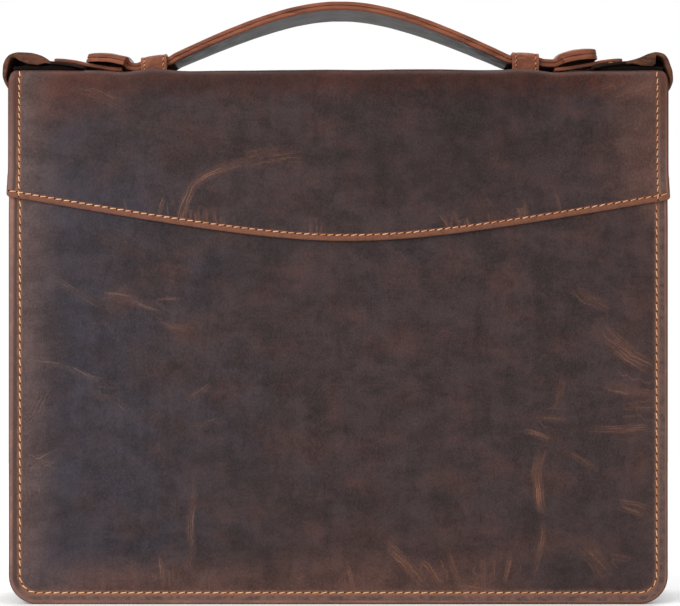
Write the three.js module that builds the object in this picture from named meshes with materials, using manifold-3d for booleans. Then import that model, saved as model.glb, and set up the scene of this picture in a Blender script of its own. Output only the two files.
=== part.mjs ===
// Leather conference folder that zips round three sides and hangs from a sliding handle on its spine.
// Millimetres, +Z up, front towards -Y. The origin lies on the floor under the middle of the folder.

import * as THREE from 'three';
import { LoftGeometry } from 'three/addons/geometries/LoftGeometry.js';
import { mergeVertices } from 'three/addons/utils/BufferGeometryUtils.js';
import Module from 'manifold-3d';

const wasm = await Module();
wasm.setup();

// Driving dimensions

const gap = 0.3; // left between pieces that are sewn or laid together

const folder = {
  upperHalfWidth: 175.2, // back, spine and upper front
  lowerHalfWidth: 174.8, // lower front
  height: 283.5,
  halfDepth: 24, // closed, from the middle to either face
  wall: 3, // leather over its board
  bottomCorner: 15, // radius in the front view
  topCornerAcross: 4, // the top corners are drawn in by this much,
  topCornerDown: 9, // over this height below the spine
  spineBend: 5, // outer radius between the spine and the panels
};

// Lower rim of each panel, from the flat strip that it stands on up to the full wall

const footRim = [
  { half: 0.75, up: 0 },
  { half: 1.25, up: 0.4 },
  { half: 1.5, up: 1.3 },
];

const hem = {
  lowest: 192.4, // lower edge, at its middle
  middle: 5,
  rise: 11.8,
  run: 63.5,
  proud: 1.3, // the lip stands in front of the panel face
  lip: 1.9,
  lap: 10, // the lower panel's tongue behind the lip
  fade: 22, // height over which the lip runs out into the face
  shoulder: 3.5, // slant of the wall above the tongue, where the wall is thinned
  dip: 12, // height over which the lower face sinks to the tongue
  tongueDrop: 0.5, // the tongue's face starts this far under the lip
  tongueEase: 0.35, // rounding of the tongue's top
};

// Rounding of the lip's lower rim: height above its edge, inset from its front and its back

const lipRim = [
  { up: 1.5, frontIn: 0, backIn: 0 },
  { up: 0.4, frontIn: 0.3, backIn: 0.1 },
  { up: 0, frontIn: 0.7, backIn: 0.6 },
];

const handle = {
  crown: 320.25, // top face at the middle of the arch
  middle: 0.9,
  rise: 26.5,
  run: 51,
  archStart: -88,
  archEnd: 89.5,
  archSteps: 18,
  halfWidth: 13,
  ply: 2,
  leanDegrees: 5.5, // the arch leans back, its front edge raised
  leanRun: 92,
};

const loop = { wall: 1.4, halfWidth: 15.4, bottom: 279.1, bend: 2.4, slitSpare: 0.35 };

const loops = [
  { name: 'loop_left', from: -105.7, to: -91.8, topFrom: 291.1, topTo: 293.2 },
  { name: 'loop_right', from: 93.1, to: 107.4, topFrom: 294.1, topTo: 293.3 },
];

const ear = { halfWidth: 20.7, edge: 1.4, ease: 0.4 };
const tape = { halfWidth: 18.5, bevel: 1.2, seat: 283.8 };
const tab = { thickness: 2 };

const zip = {
  halfSpan: 169.5, // outer face of the tape from the middle
  bottom: 5.5,
  top: 262,
  corner: 10,
  cornerSteps: 5,
  tape: 1.5,
  halfWidth: 20.7,
  teethHalfWidth: 3,
  teethCrown: 2.2,
  teethRise: 2.1,
};

const slider = {
  z: 252, // top of the slider, on the right side
  thickness: 2,
  bodyHalfWidth: 5,
  bodyLength: 12,
  neckHalfWidth: 1.7,
  neckLength: 4,
  pullHalfWidth: 3.6,
  pullLength: 26,
  eye: 1.4,
};

// Swells and dips of the spine beside the loops

const spineRelief = [
  { at: -114, rise: -0.9, spread: 8 },
  { at: -98.7, rise: 1, spread: 10 },
  { at: 100.2, rise: 1, spread: 10 },
  { at: 116, rise: -0.9, spread: 8 },
];

// Sections of the panels: distances in from each end, then places along the middle

const edgeSteps = [0, 0.4, 1.5, 3, 5, 8, 11, 15];
const middleSteps = [20, 40, 60, 80, 92, 105, 113, 123, 137, 150];

// Ends of the handle: top face at the strip's edges, half width, ply and cup of the section

const handleLeft = [
  { x: -135.2, top: 293.6, half: 5, ply: 2.1, cup: 0.3 },
  { x: -134.6, top: 293.4, half: 9.5, ply: 2.1, cup: 0.8 },
  { x: -133.4, top: 293.2, half: 13, ply: 2.1, cup: 1.3 },
  { x: -131, top: 293, half: 15.8, ply: 2.1, cup: 1.8 },
  { x: -127.5, top: 292.9, half: 17, ply: 2.1, cup: 2 },
  { x: -123, top: 292.7, half: 17, ply: 2.1, cup: 2 },
  { x: -116.5, top: 291.7, half: 17, ply: 2.2, cup: 1.6 },
  { x: -113, top: 291, half: 16.4, ply: 2.3, cup: 1.3 },
  { x: -111.7, top: 289.9, half: 14, ply: 2.2, cup: 0.7 },
  { x: -110.4, top: 288.7, half: 13, ply: 2, cup: 0.2 },
  { x: -108.5, top: 288.4, half: 13, ply: 2, cup: 0 },
  { x: -105.7, top: 289.2, half: 13, ply: 2, cup: 0 },
  { x: -98.7, top: 290.2, half: 13, ply: 2, cup: 0 },
  { x: -91.8, top: 291.4, half: 13, ply: 2, cup: 0 },
];

const handleRight = [
  { x: 93.1, top: 292.3, half: 13, ply: 2, cup: 0 },
  { x: 100.2, top: 291.9, half: 13, ply: 2, cup: 0 },
  { x: 107.4, top: 291.4, half: 13, ply: 2, cup: 0 },
  { x: 110.5, top: 290.6, half: 13, ply: 2, cup: 0 },
  { x: 114.5, top: 290.4, half: 13, ply: 2, cup: 0 },
  { x: 116.4, top: 290.6, half: 13, ply: 2, cup: 0.2 },
  { x: 117.4, top: 291.5, half: 15, ply: 2.4, cup: 0.8 },
  { x: 118.8, top: 292.5, half: 16.6, ply: 2.6, cup: 1.4 },
  { x: 121.5, top: 293.4, half: 17, ply: 2.6, cup: 1.7 },
  { x: 127, top: 294.6, half: 17, ply: 2.6, cup: 2 },
  { x: 131.5, top: 295.1, half: 17, ply: 2.6, cup: 2 },
  { x: 135, top: 295.4, half: 15.8, ply: 2.6, cup: 1.8 },
  { x: 137.4, top: 295.7, half: 13, ply: 2.6, cup: 1.3 },
  { x: 138.6, top: 295.9, half: 9.5, ply: 2.6, cup: 0.8 },
  { x: 139.2, top: 296, half: 5, ply: 2.6, cup: 0.3 },
];

// Outer face of each ear, in a run from left to right over the top, with its crown, its wall
// and how far its two edges sag under the wall

const earLeft = [
  { x: -169.5, z: 262.3, crown: 0, wall: 1.6, sag: 0 },
  { x: -172, z: 267.5, crown: 0, wall: 1.6, sag: 0 },
  { x: -175.3, z: 273, crown: 0.4, wall: 1.6, sag: 0 },
  { x: -177.7, z: 277.3, crown: 0.8, wall: 1.8, sag: 0 },
  { x: -178.6, z: 281, crown: 0.8, wall: 2.2, sag: 0 },
  { x: -178.4, z: 285.4, crown: 0.6, wall: 2.6, sag: 0 },
  { x: -177.2, z: 289, crown: 0.5, wall: 2.4, sag: 0 },
  { x: -174.6, z: 291.8, crown: 0.6, wall: 1.9, sag: 0 },
  { x: -170.2, z: 293, crown: 0.8, wall: 1.6, sag: 2.6 },
  { x: -163.8, z: 292.7, crown: 0.8, wall: 1.6, sag: 4.4 },
  { x: -158, z: 291.2, crown: 0.4, wall: 1.6, sag: 3.8 },
  { x: -155, z: 289.6, crown: 0, wall: 1.6, sag: 1.5 },
  { x: -153, z: 288.3, crown: 0, wall: 1.6, sag: 0 },
  { x: -150, z: 288.1, crown: 0, wall: 1.6, sag: 0 },
  { x: -142, z: 287, crown: 0, wall: 1.6, sag: 0 },
  { x: -138, z: 286.2, crown: 0, wall: 1.6, sag: 0 },
  { x: -135, z: 285.5, crown: 0, wall: 1.6, sag: 0 },
];

const earRight = [
  { x: 135, z: 285.5, crown: 0, wall: 1.6, sag: 0 },
  { x: 138, z: 286.2, crown: 0, wall: 1.6, sag: 0 },
  { x: 142, z: 287, crown: 0, wall: 1.6, sag: 0 },
  { x: 150, z: 288.1, crown: 0, wall: 1.6, sag: 0 },
  { x: 153.2, z: 288.3, crown: 0, wall: 1.6, sag: 0 },
  { x: 156.2, z: 288.9, crown: 0, wall: 1.6, sag: 0.6 },
  { x: 160.4, z: 290.2, crown: 0.3, wall: 1.6, sag: 3 },
  { x: 164.5, z: 292, crown: 0.6, wall: 1.6, sag: 5.2 },
  { x: 167.5, z: 292.9, crown: 0.8, wall: 1.6, sag: 4.6 },
  { x: 169, z: 293.1, crown: 0.8, wall: 1.6, sag: 0.2 },
  { x: 173, z: 292.2, crown: 0.6, wall: 2, sag: 0 },
  { x: 175.2, z: 289.9, crown: 0.5, wall: 2.4, sag: 0 },
  { x: 176.6, z: 286.4, crown: 0.6, wall: 2.6, sag: 0 },
  { x: 177.8, z: 282.5, crown: 0.8, wall: 2.4, sag: 0 },
  { x: 178.1, z: 278.5, crown: 0.8, wall: 1.9, sag: 0 },
  { x: 177, z: 274.5, crown: 0.4, wall: 1.6, sag: 0 },
  { x: 174, z: 270, crown: 0, wall: 1.6, sag: 0 },
  { x: 171, z: 266, crown: 0, wall: 1.6, sag: 0 },
  { x: 169.5, z: 262.3, crown: 0, wall: 1.6, sag: 0 },
];

// Tabs and folded tape, from the folder's corner inwards, the same at both ends.
// The tape's fold rises from its front edge to its top at the back.

const tabRows = [
  { from: 152.5, top: 290.8, half: 11.5 },
  { from: 150.8, top: 290.8, half: 13 },
  { from: 142, top: 290, half: 13 },
  { from: 137, top: 289, half: 13 },
  { from: 134, top: 288.3, half: 13 },
  { from: 131, top: 287.8, half: 13 },
  { from: 126, top: 287, half: 13 },
  { from: 120, top: 286.1, half: 13 },
  { from: 116, top: 285.9, half: 12 },
];

const tapeRows = [
  { from: 173, front: 285.4, top: 286 },
  { from: 168, front: 285.8, top: 289.6 },
  { from: 163, front: 285.9, top: 288.8 },
  { from: 159.5, front: 285.9, top: 287.4 },
  { from: 156, front: 286, top: 286.5 },
  { from: 152, front: 286.3, top: 286.3 },
  { from: 149, front: 286.2, top: 286.2 },
  { from: 142, front: 285, top: 285 },
  { from: 140, front: 284.6, top: 284.6 },
];

// Curves that several pieces share

const flatBow = (x, rise, run) => rise * (Math.hypot(1, x / run) - 1); // bow with nearly straight arms
const hemAt = (x) => hem.lowest + flatBow(x - hem.middle, hem.rise, hem.run);
const archAt = (x) => handle.crown - flatBow(x - handle.middle, handle.rise, handle.run);

function cornerDrop(inset, radius) {
  return inset >= radius ? 0 : radius - Math.sqrt(radius ** 2 - (radius - inset) ** 2);
}

function drawnIn(x, z) {
  const up = THREE.MathUtils.clamp((z - folder.height) / folder.topCornerDown + 1, 0, 1);
  const across = folder.topCornerAcross * (1 - Math.sqrt(1 - up ** 2));
  return x * (1 - across / folder.upperHalfWidth);
}

function edgeThinning(inset) {
  const thinnest = 0.25;
  const half = folder.wall / 2;
  return inset >= half ? 1 : Math.max(thinnest, Math.sqrt(1 - (1 - inset / half) ** 2));
}

function reliefAt(x) {
  return spineRelief.reduce((sum, row) => sum + row.rise * Math.exp(-(((x - row.at) / row.spread) ** 2)), 0);
}

function panelStations(halfWidth) {
  const right = [...middleSteps, ...edgeSteps.map((inset) => halfWidth - inset).reverse()];
  return [...right.map((x) => -x).reverse(), 0, ...right];
}

// Panels: each section is a row of pairs, outer and inner, thinned round its middle at the ends

const closedEnds = { closed: true, capStart: true, capEnd: true };

function wallSection(x, pairs, thinning) {
  const outer = [];
  const inner = [];
  for (const [outside, inside] of pairs) {
    const middle = [(outside[0] + inside[0]) / 2, (outside[1] + inside[1]) / 2];
    const place = (point) => {
      const y = middle[0] + (point[0] - middle[0]) * thinning;
      const z = middle[1] + (point[1] - middle[1]) * thinning;
      return new THREE.Vector3(drawnIn(x, z), y, z);
    };
    outer.push(place(outside));
    inner.unshift(place(inside));
  }
  return [...outer, ...inner];
}

function footPairs(side, foot) {
  const middle = folder.halfDepth - folder.wall / 2;
  return footRim.map(({ half, up }) => [
    [side * (middle + half), foot + up],
    [side * (middle - half), foot + up],
  ]);
}

function bendPairs(side, top) {
  const outer = folder.spineBend;
  const inner = folder.spineBend - folder.wall;
  const centre = folder.halfDepth - folder.spineBend;
  const steps = 4;
  const pairs = [];
  for (let i = 0; i <= steps; i += 1) {
    const turn = (i / steps) * (Math.PI / 2);
    const at = (radius) => [
      side * (centre + radius * Math.cos(turn)),
      top - folder.spineBend + radius * Math.sin(turn),
    ];
    pairs.push([at(outer), at(inner)]);
  }
  return pairs;
}

function hemPairs(edge) {
  const face = -folder.halfDepth;
  const inside = face + folder.wall;
  const lipFront = face - hem.proud;
  const lipBack = lipFront + hem.lip;
  const step = edge + hem.lap + gap;
  const outside = (z) => [face - hem.proud * (1 - (z - edge) / hem.fade), z];
  return [
    [outside(edge + hem.fade), [inside, edge + hem.fade]],
    [outside(step + hem.shoulder), [inside, step]],
    [outside(step), [lipBack, step]],
    ...lipRim.map(({ up, frontIn, backIn }) => [
      [lipFront + frontIn, edge + up],
      [lipBack - backIn, edge + up],
    ]),
  ];
}

function tonguePairs(edge) {
  const face = -folder.halfDepth;
  const inside = face + folder.wall;
  const front = face - hem.proud + hem.lip + gap;
  const ease = hem.tongueEase;
  const rows = [
    { outside: front + ease, inside: inside - ease, z: edge + hem.lap },
    { outside: front, inside, z: edge + hem.lap - ease },
    { outside: front, inside, z: edge - hem.tongueDrop },
    { outside: (front + face) / 2, inside, z: edge - hem.dip / 2 },
    { outside: face, inside, z: edge - hem.dip },
  ];
  return rows.map((row) => [
    [row.outside, row.z],
    [row.inside, row.z],
  ]);
}

function coverSection(x) {
  const inset = folder.upperHalfWidth - Math.abs(x);
  const foot = cornerDrop(inset, folder.bottomCorner);
  const top = folder.height + reliefAt(x);
  const pairs = [
    ...footPairs(1, foot),
    ...bendPairs(1, top),
    ...bendPairs(-1, top).reverse(),
    ...hemPairs(hemAt(x)),
  ];
  return wallSection(x, pairs, edgeThinning(inset));
}

function frontLowerSection(x) {
  const inset = folder.lowerHalfWidth - Math.abs(x);
  const foot = cornerDrop(inset, folder.bottomCorner);
  const pairs = [...tonguePairs(hemAt(x)), ...footPairs(-1, foot).reverse()];
  return wallSection(x, pairs, edgeThinning(inset));
}

// Strips: each row is a place on the strip's face in the XZ plane, its profile (across, lift) pairs

function stripGeometry(rows, profileOf) {
  const sections = rows.map((row, i) => {
    const before = rows[Math.max(i - 1, 0)];
    const after = rows[Math.min(i + 1, rows.length - 1)];
    const along = new THREE.Vector2(after.x - before.x, after.z - before.z).normalize();
    return profileOf(row).map(
      ([across, lift]) => new THREE.Vector3(row.x - along.y * lift, across, row.z + along.x * lift),
    );
  });
  return new LoftGeometry(sections, closedEnds);
}

// Section of a strip between two lifts, crowned by the same rise on both faces

function crownedProfile(half, low, high, crown) {
  const places = [-1, -0.5, 0, 0.5, 1];
  const at = (place, lift) => [place * half, lift + crown * (1 - place ** 2)];
  return [...places.map((place) => at(place, low)), ...places.map((place) => at(-place, high))];
}

function leanProfile(profile, lean, pivot) {
  const cos = Math.cos(lean);
  const sin = Math.sin(lean);
  return profile.map(([across, lift]) => [
    across * cos + (lift - pivot) * sin,
    pivot + (lift - pivot) * cos - across * sin,
  ]);
}

function handleRows() {
  const arch = [];
  const length = handle.archEnd - handle.archStart;
  for (let i = 0; i <= handle.archSteps; i += 1) {
    const x = handle.archStart + (length * i) / handle.archSteps;
    const level = 1 - ((x - handle.middle) / handle.leanRun) ** 2;
    const lean = THREE.MathUtils.degToRad(handle.leanDegrees) * level;
    arch.push({ x, top: archAt(x), half: handle.halfWidth, ply: handle.ply, cup: 0, lean });
  }
  return [...handleLeft, ...arch, ...handleRight].map((row) => ({ ...row, z: row.top }));
}

function handlePly(order) {
  return stripGeometry(handleRows(), (row) => {
    const high = -order * (row.ply + gap);
    const profile = crownedProfile(row.half, high - row.ply, high, row.cup);
    return leanProfile(profile, row.lean ?? 0, -row.ply - gap / 2);
  });
}

// Section of an ear: a crowned strip whose edges turn down

function earProfile({ wall, crown, sag }) {
  const half = ear.halfWidth;
  const inner = half - ear.edge;
  const edge = [[inner - ear.ease, -wall], [inner, -wall - sag], [half, -wall - sag]];
  const mirrored = edge.map(([across, lift]) => [-across, lift]).reverse();
  const over = [1, 0.5, 0, -0.5, -1].map((place) => [place * half, crown * (1 - place ** 2)]);
  return [...mirrored, [0, crown - wall], ...edge, ...over];
}

function earGeometry(rows) {
  return stripGeometry(rows, earProfile);
}

// Rows given from the corner inwards, turned into a run from left to right on either side

function sideRows(rows, side) {
  const placed = rows.map((row) => ({ ...row, x: side * row.from, z: row.top }));
  return side < 0 ? placed : placed.reverse();
}

function tabGeometry(side) {
  const profileOf = (row) => crownedProfile(row.half, -tab.thickness, 0, 0);
  return stripGeometry(sideRows(tabRows, side), profileOf);
}

function tapeGeometry(side) {
  const half = tape.halfWidth;
  const shoulder = half - tape.bevel;
  const sections = sideRows(tapeRows, side).map(({ x, front, top }) => {
    const outline = [[-half, tape.seat], [half, tape.seat], [half, (top + tape.seat) / 2], [shoulder, top]];
    outline.push([-shoulder, front], [-half, (front + tape.seat) / 2]);
    return outline.map(([y, z]) => new THREE.Vector3(x, y, z));
  });
  return new LoftGeometry(sections, closedEnds);
}

// Zip band: down the left side, round both lower corners and up the right side

function zipRows() {
  const centre = zip.halfSpan - zip.corner;
  const lower = zip.bottom + zip.corner;
  const rows = [{ x: -zip.halfSpan, z: zip.top }];
  for (const side of [-1, 1]) {
    for (let i = 0; i <= zip.cornerSteps; i += 1) {
      const part = i / zip.cornerSteps;
      const turn = (side < 0 ? part : 1 - part) * (Math.PI / 2);
      rows.push({
        x: side * (centre + zip.corner * Math.cos(turn)),
        z: lower - zip.corner * Math.sin(turn),
      });
    }
  }
  rows.push({ x: zip.halfSpan, z: zip.top });
  return rows;
}

function zipGeometry() {
  const half = zip.halfWidth;
  const profile = [
    [-half, 0],
    [-zip.teethHalfWidth, 0],
    [-zip.teethCrown, -zip.teethRise],
    [zip.teethCrown, -zip.teethRise],
    [zip.teethHalfWidth, 0],
    [half, 0],
    [half, zip.tape],
    [-half, zip.tape],
  ];
  return stripGeometry(zipRows(), () => profile);
}

// Slider and pull: one flat outline across Y and down Z, as thick as its plate along X

function sliderGeometry() {
  const outline = new THREE.Shape();
  const neckTop = -slider.bodyLength;
  const pullTop = neckTop - slider.neckLength;
  const tip = pullTop - slider.pullLength + slider.pullHalfWidth;
  const shoulder = 2;
  outline.moveTo(-slider.bodyHalfWidth + shoulder, 0);
  outline.lineTo(-slider.bodyHalfWidth, -shoulder);
  outline.lineTo(-slider.bodyHalfWidth, neckTop);
  outline.lineTo(-slider.neckHalfWidth, neckTop);
  outline.lineTo(-slider.neckHalfWidth, pullTop);
  outline.lineTo(-slider.pullHalfWidth, pullTop - shoulder);
  outline.absarc(0, tip, slider.pullHalfWidth, Math.PI, 2 * Math.PI, false);
  outline.lineTo(slider.pullHalfWidth, pullTop - shoulder);
  outline.lineTo(slider.neckHalfWidth, pullTop);
  outline.lineTo(slider.neckHalfWidth, neckTop);
  outline.lineTo(slider.bodyHalfWidth, neckTop);
  outline.lineTo(slider.bodyHalfWidth, -shoulder);
  outline.lineTo(slider.bodyHalfWidth - shoulder, 0);
  outline.closePath();
  const eye = new THREE.Path();
  eye.absarc(0, tip, slider.eye, 0, 2 * Math.PI, true);
  outline.holes.push(eye);
  return new THREE.ExtrudeGeometry(outline, {
    depth: slider.thickness,
    bevelEnabled: false,
    curveSegments: 6,
  });
}

// Cuts through closed solids

function toSolid(geometry) {
  const bare = new THREE.BufferGeometry();
  bare.setAttribute('position', geometry.attributes.position);
  bare.setIndex(geometry.index);
  const merged = mergeVertices(bare);
  return new wasm.Manifold(
    new wasm.Mesh({
      numProp: 3,
      vertProperties: Float32Array.from(merged.attributes.position.array),
      triVerts: Uint32Array.from(merged.index.array),
    }),
  );
}

function cutAway(geometry, cutters) {
  let solid = toSolid(geometry);
  for (const cutter of cutters) {
    solid = solid.subtract(toSolid(cutter));
  }
  const cut = solid.getMesh();
  const result = new THREE.BufferGeometry();
  result.setAttribute('position', new THREE.BufferAttribute(cut.vertProperties, 3));
  result.setIndex(new THREE.BufferAttribute(cut.triVerts, 1));
  result.computeVertexNormals();
  return result;
}

// Loops: a rounded block round the handle and the spine, less the block inside it

function roundedOutline(half, low, high, radius) {
  const cornerSteps = 3;
  const corners = [
    { y: half - radius, z: low + radius, start: -0.5 },
    { y: half - radius, z: high - radius, start: 0 },
    { y: radius - half, z: high - radius, start: 0.5 },
    { y: radius - half, z: low + radius, start: 1 },
  ];
  const outline = [];
  for (const corner of corners) {
    for (let i = 0; i <= cornerSteps; i += 1) {
      const turn = Math.PI * (corner.start + (0.5 * i) / cornerSteps);
      outline.push([corner.y + radius * Math.cos(turn), corner.z + radius * Math.sin(turn)]);
    }
  }
  return outline;
}

function loopBlock(row, inset, overrun) {
  const slope = (row.topTo - row.topFrom) / (row.to - row.from);
  const ends = [
    { x: row.from - overrun, top: row.topFrom - slope * overrun },
    { x: row.to + overrun, top: row.topTo + slope * overrun },
  ];
  const sections = ends.map(({ x, top }) =>
    roundedOutline(loop.halfWidth - inset, loop.bottom + inset, top - inset, loop.bend - inset).map(
      ([y, z]) => new THREE.Vector3(x, y, z),
    ),
  );
  return new LoftGeometry(sections, closedEnds);
}

function loopGeometry(row) {
  return cutAway(loopBlock(row, 0, 0), [loopBlock(row, loop.wall, 1)]);
}

function loopSlits() {
  const across = loop.wall + 2 * gap;
  const middle = loop.halfWidth - loop.wall / 2;
  const deep = 4 * folder.wall;
  return loops.flatMap((row) =>
    [-1, 1].map((side) => {
      const length = row.to - row.from + 2 * loop.slitSpare;
      const slit = new THREE.BoxGeometry(length, across, deep);
      slit.translate((row.from + row.to) / 2, side * middle, folder.height - folder.wall / 2);
      return slit;
    }),
  );
}

function coverGeometry() {
  const sections = panelStations(folder.upperHalfWidth).map(coverSection);
  return cutAway(new LoftGeometry(sections, closedEnds), loopSlits());
}

function frontLowerGeometry() {
  const sections = panelStations(folder.lowerHalfWidth).map(frontLowerSection);
  return new LoftGeometry(sections, closedEnds);
}

// Finishes and assembly

const finishes = {
  panelLeather: new THREE.MeshStandardMaterial({ color: 0x483a39, roughness: 0.55, metalness: 0 }),
  strapLeather: new THREE.MeshStandardMaterial({ color: 0x7a4c3b, roughness: 0.5, metalness: 0 }),
  wovenTape: new THREE.MeshStandardMaterial({ color: 0x1d1917, roughness: 0.9, metalness: 0 }),
  agedBrass: new THREE.MeshStandardMaterial({ color: 0x6b5637, roughness: 0.4, metalness: 1 }),
};

const conferenceFolder = new THREE.Group();

function addPiece(name, geometry, finish) {
  const piece = new THREE.Mesh(geometry, finish);
  piece.name = name;
  conferenceFolder.add(piece);
  return piece;
}

addPiece('cover_wrap', coverGeometry(), finishes.panelLeather);
addPiece('front_lower', frontLowerGeometry(), finishes.panelLeather);
addPiece('zip_band', zipGeometry(), finishes.wovenTape);
addPiece('ear_left', earGeometry(earLeft), finishes.strapLeather);
addPiece('ear_right', earGeometry(earRight), finishes.strapLeather);
addPiece('tape_end_left', tapeGeometry(-1), finishes.wovenTape);
addPiece('tape_end_right', tapeGeometry(1), finishes.wovenTape);
addPiece('end_tab_left', tabGeometry(-1), finishes.strapLeather);
addPiece('end_tab_right', tabGeometry(1), finishes.strapLeather);
addPiece('handle_top_ply', handlePly(0), finishes.strapLeather);
addPiece('handle_lower_ply', handlePly(1), finishes.strapLeather);
for (const row of loops) {
  addPiece(row.name, loopGeometry(row), finishes.strapLeather);
}

const zipSlider = addPiece('zip_slider', sliderGeometry(), finishes.agedBrass);
const outwards = new THREE.Matrix4().makeBasis(
  new THREE.Vector3(0, 1, 0),
  new THREE.Vector3(0, 0, 1),
  new THREE.Vector3(1, 0, 0),
);
zipSlider.quaternion.setFromRotationMatrix(outwards);
zipSlider.position.set(zip.halfSpan + zip.teethRise + gap, 0, slider.z);

export default conferenceFolder;
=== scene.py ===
# Looks of the leather conference folder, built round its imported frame.
# Sizes are in millimetres in the folder's own frame: front towards -Y, floor at Z 0.

import math
from types import SimpleNamespace

import bpy
import numpy as np
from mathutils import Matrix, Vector
from mathutils.bvhtree import BVHTree


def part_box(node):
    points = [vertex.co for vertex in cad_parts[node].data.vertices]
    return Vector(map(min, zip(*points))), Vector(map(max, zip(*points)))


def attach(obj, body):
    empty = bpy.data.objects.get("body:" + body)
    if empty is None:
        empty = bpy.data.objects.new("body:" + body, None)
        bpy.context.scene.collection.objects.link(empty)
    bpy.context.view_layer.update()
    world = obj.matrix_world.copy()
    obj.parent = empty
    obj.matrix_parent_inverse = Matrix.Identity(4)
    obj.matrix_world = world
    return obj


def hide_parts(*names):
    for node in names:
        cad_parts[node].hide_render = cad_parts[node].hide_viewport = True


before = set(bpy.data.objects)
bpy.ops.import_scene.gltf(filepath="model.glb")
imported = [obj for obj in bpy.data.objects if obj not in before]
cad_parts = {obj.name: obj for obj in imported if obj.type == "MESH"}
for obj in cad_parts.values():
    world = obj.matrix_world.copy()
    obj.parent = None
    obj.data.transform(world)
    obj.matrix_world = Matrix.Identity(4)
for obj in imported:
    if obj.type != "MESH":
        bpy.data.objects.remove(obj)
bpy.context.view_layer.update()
print("frame loaded,", len(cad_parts), "CAD nodes")

mm = 0.001
far = 99.0  # stands for a rim that a point has nothing to do with


# Small curves

def smoothRise(value, low, high):
    share = np.clip((value - low) / (high - low), 0, 1)
    return share * share * (3 - 2 * share)


def hump(value, at, width):
    return np.exp(-(((value - at) / width) ** 2))


def flatBow(x, rise, run):  # bow with nearly straight arms
    return rise * (np.hypot(1, x / run) - 1)


def easeThrough(at, places, values):  # smooth curve through a table, with no overshoot
    places = np.asarray(places, float)
    values = np.asarray(values, float)
    step = np.diff(places)
    rise = np.diff(values) / step
    lean = np.zeros(len(places))
    lean[0] = rise[0]
    lean[-1] = rise[-1]
    before, after = rise[:-1], rise[1:]
    same = before * after > 0
    lean[1:-1][same] = 2 * (before * after)[same] / (before + after)[same]
    k = np.clip(np.searchsorted(places, at, side="right") - 1, 0, len(step) - 1)
    t = (np.asarray(at, float) - places[k]) / step[k]
    low = values[k] * (1 + 2 * t) * (1 - t) ** 2 + lean[k] * step[k] * t * (1 - t) ** 2
    high = values[k + 1] * t * t * (3 - 2 * t) - lean[k + 1] * step[k] * t * t * (1 - t)
    return low + high


# Pieces

def addPiece(name, node, points, faces, looks, kinds=None, marks=None):  # node: the one it replaces
    mesh = bpy.data.meshes.new(name)
    mesh.from_pydata((np.asarray(points, float) * mm).tolist(), [], [list(face) for face in faces])
    for look in looks:
        mesh.materials.append(finishes[look])
    if kinds is not None:
        mesh.polygons.foreach_set("material_index", np.asarray(kinds, np.int32))
    mesh.polygons.foreach_set("use_smooth", np.ones(len(mesh.polygons), bool))
    for label, values in (marks or {}).items():
        layer = mesh.attributes.new(label, "FLOAT", "POINT")
        layer.data.foreach_set("value", np.asarray(values, np.float32))
    mesh.update()
    piece = bpy.data.objects.new(name, mesh)
    bpy.context.scene.collection.objects.link(piece)
    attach(piece, "root")
    if node:
        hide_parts(node)


def bridge(first, second):  # quads between rings of point numbers
    corners = [first, np.roll(first, -1, axis=-1), np.roll(second, -1, axis=-1), second]
    return np.stack(corners, -1).reshape(-1, 4)


def tubeFaces(base, rings, sides, order):  # quads round a tube of rings, and its two ends
    grid = base + np.arange(rings * sides).reshape(rings, sides)
    faces = bridge(grid[:-1], grid[1:])[:, ::order].tolist()
    return faces + [grid[0, ::-order].tolist(), grid[-1, ::order].tolist()]


# Finishes: short hands for shader nodes

def tone(red, green, blue):  # a colour as it looks on screen, 0 to 255
    shares = [value / 255 for value in (red, green, blue)]
    return tuple(s / 12.92 if s <= 0.04045 else ((s + 0.055) / 1.055) ** 2.4 for s in shares) + (1.0,)


def addNode(tree, kind, feeds=None, **settings):
    node = tree.nodes.new("ShaderNode" + kind)
    for key, value in settings.items():
        setattr(node, key, value)
    for socket, value in (feeds or {}).items():
        if isinstance(value, bpy.types.NodeSocket):
            tree.links.new(value, node.inputs[socket])
        else:
            node.inputs[socket].default_value = value
    return node


def startFinish(name, roughness=0.5, specular=0.3, **sockets):
    finish = bpy.data.materials.new(name)
    finish.use_nodes = True
    tree = finish.node_tree
    shader = tree.nodes["Principled BSDF"]
    shader.inputs["Roughness"].default_value = roughness
    shader.inputs["Specular IOR Level"].default_value = specular
    for socket, value in sockets.items():
        shader.inputs[socket].default_value = value
    return finish, tree, shader


def millimetres(tree):  # object coordinates in mm
    place = addNode(tree, "TexCoord").outputs["Object"]
    return addNode(tree, "VectorMath", {0: place, 3: 1 / mm}, operation="SCALE").outputs[0]


def mark(tree, label):
    return addNode(tree, "Attribute", attribute_name=label).outputs["Fac"]


def feed(shader, socket, value):
    value.id_data.links.new(value, shader.inputs[socket])


def calc(how, first, second=0.0, third=0.0):
    feeds = {0: first, 1: second, 2: third}
    return addNode(first.id_data, "Math", feeds, operation=how).outputs[0]


def times(first, second):
    return calc("MULTIPLY", first, second)


def plus(first, second):
    return calc("ADD", first, second)


def timesPlus(first, second, third):  # first times second, and third added
    return calc("MULTIPLY_ADD", first, second, third)


def spread(value, low, high, start=0.0, end=1.0):  # eases from start to end between low and high
    feeds = {"Value": value, "From Min": low, "From Max": high, "To Min": start, "To Max": end}
    return addNode(value.id_data, "MapRange", feeds, interpolation_type="SMOOTHSTEP").outputs[0]


def mixColours(share, first, second):
    feeds = {0: share, 6: first, 7: second}
    return addNode(share.id_data, "Mix", feeds, data_type="RGBA").outputs[2]


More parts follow.
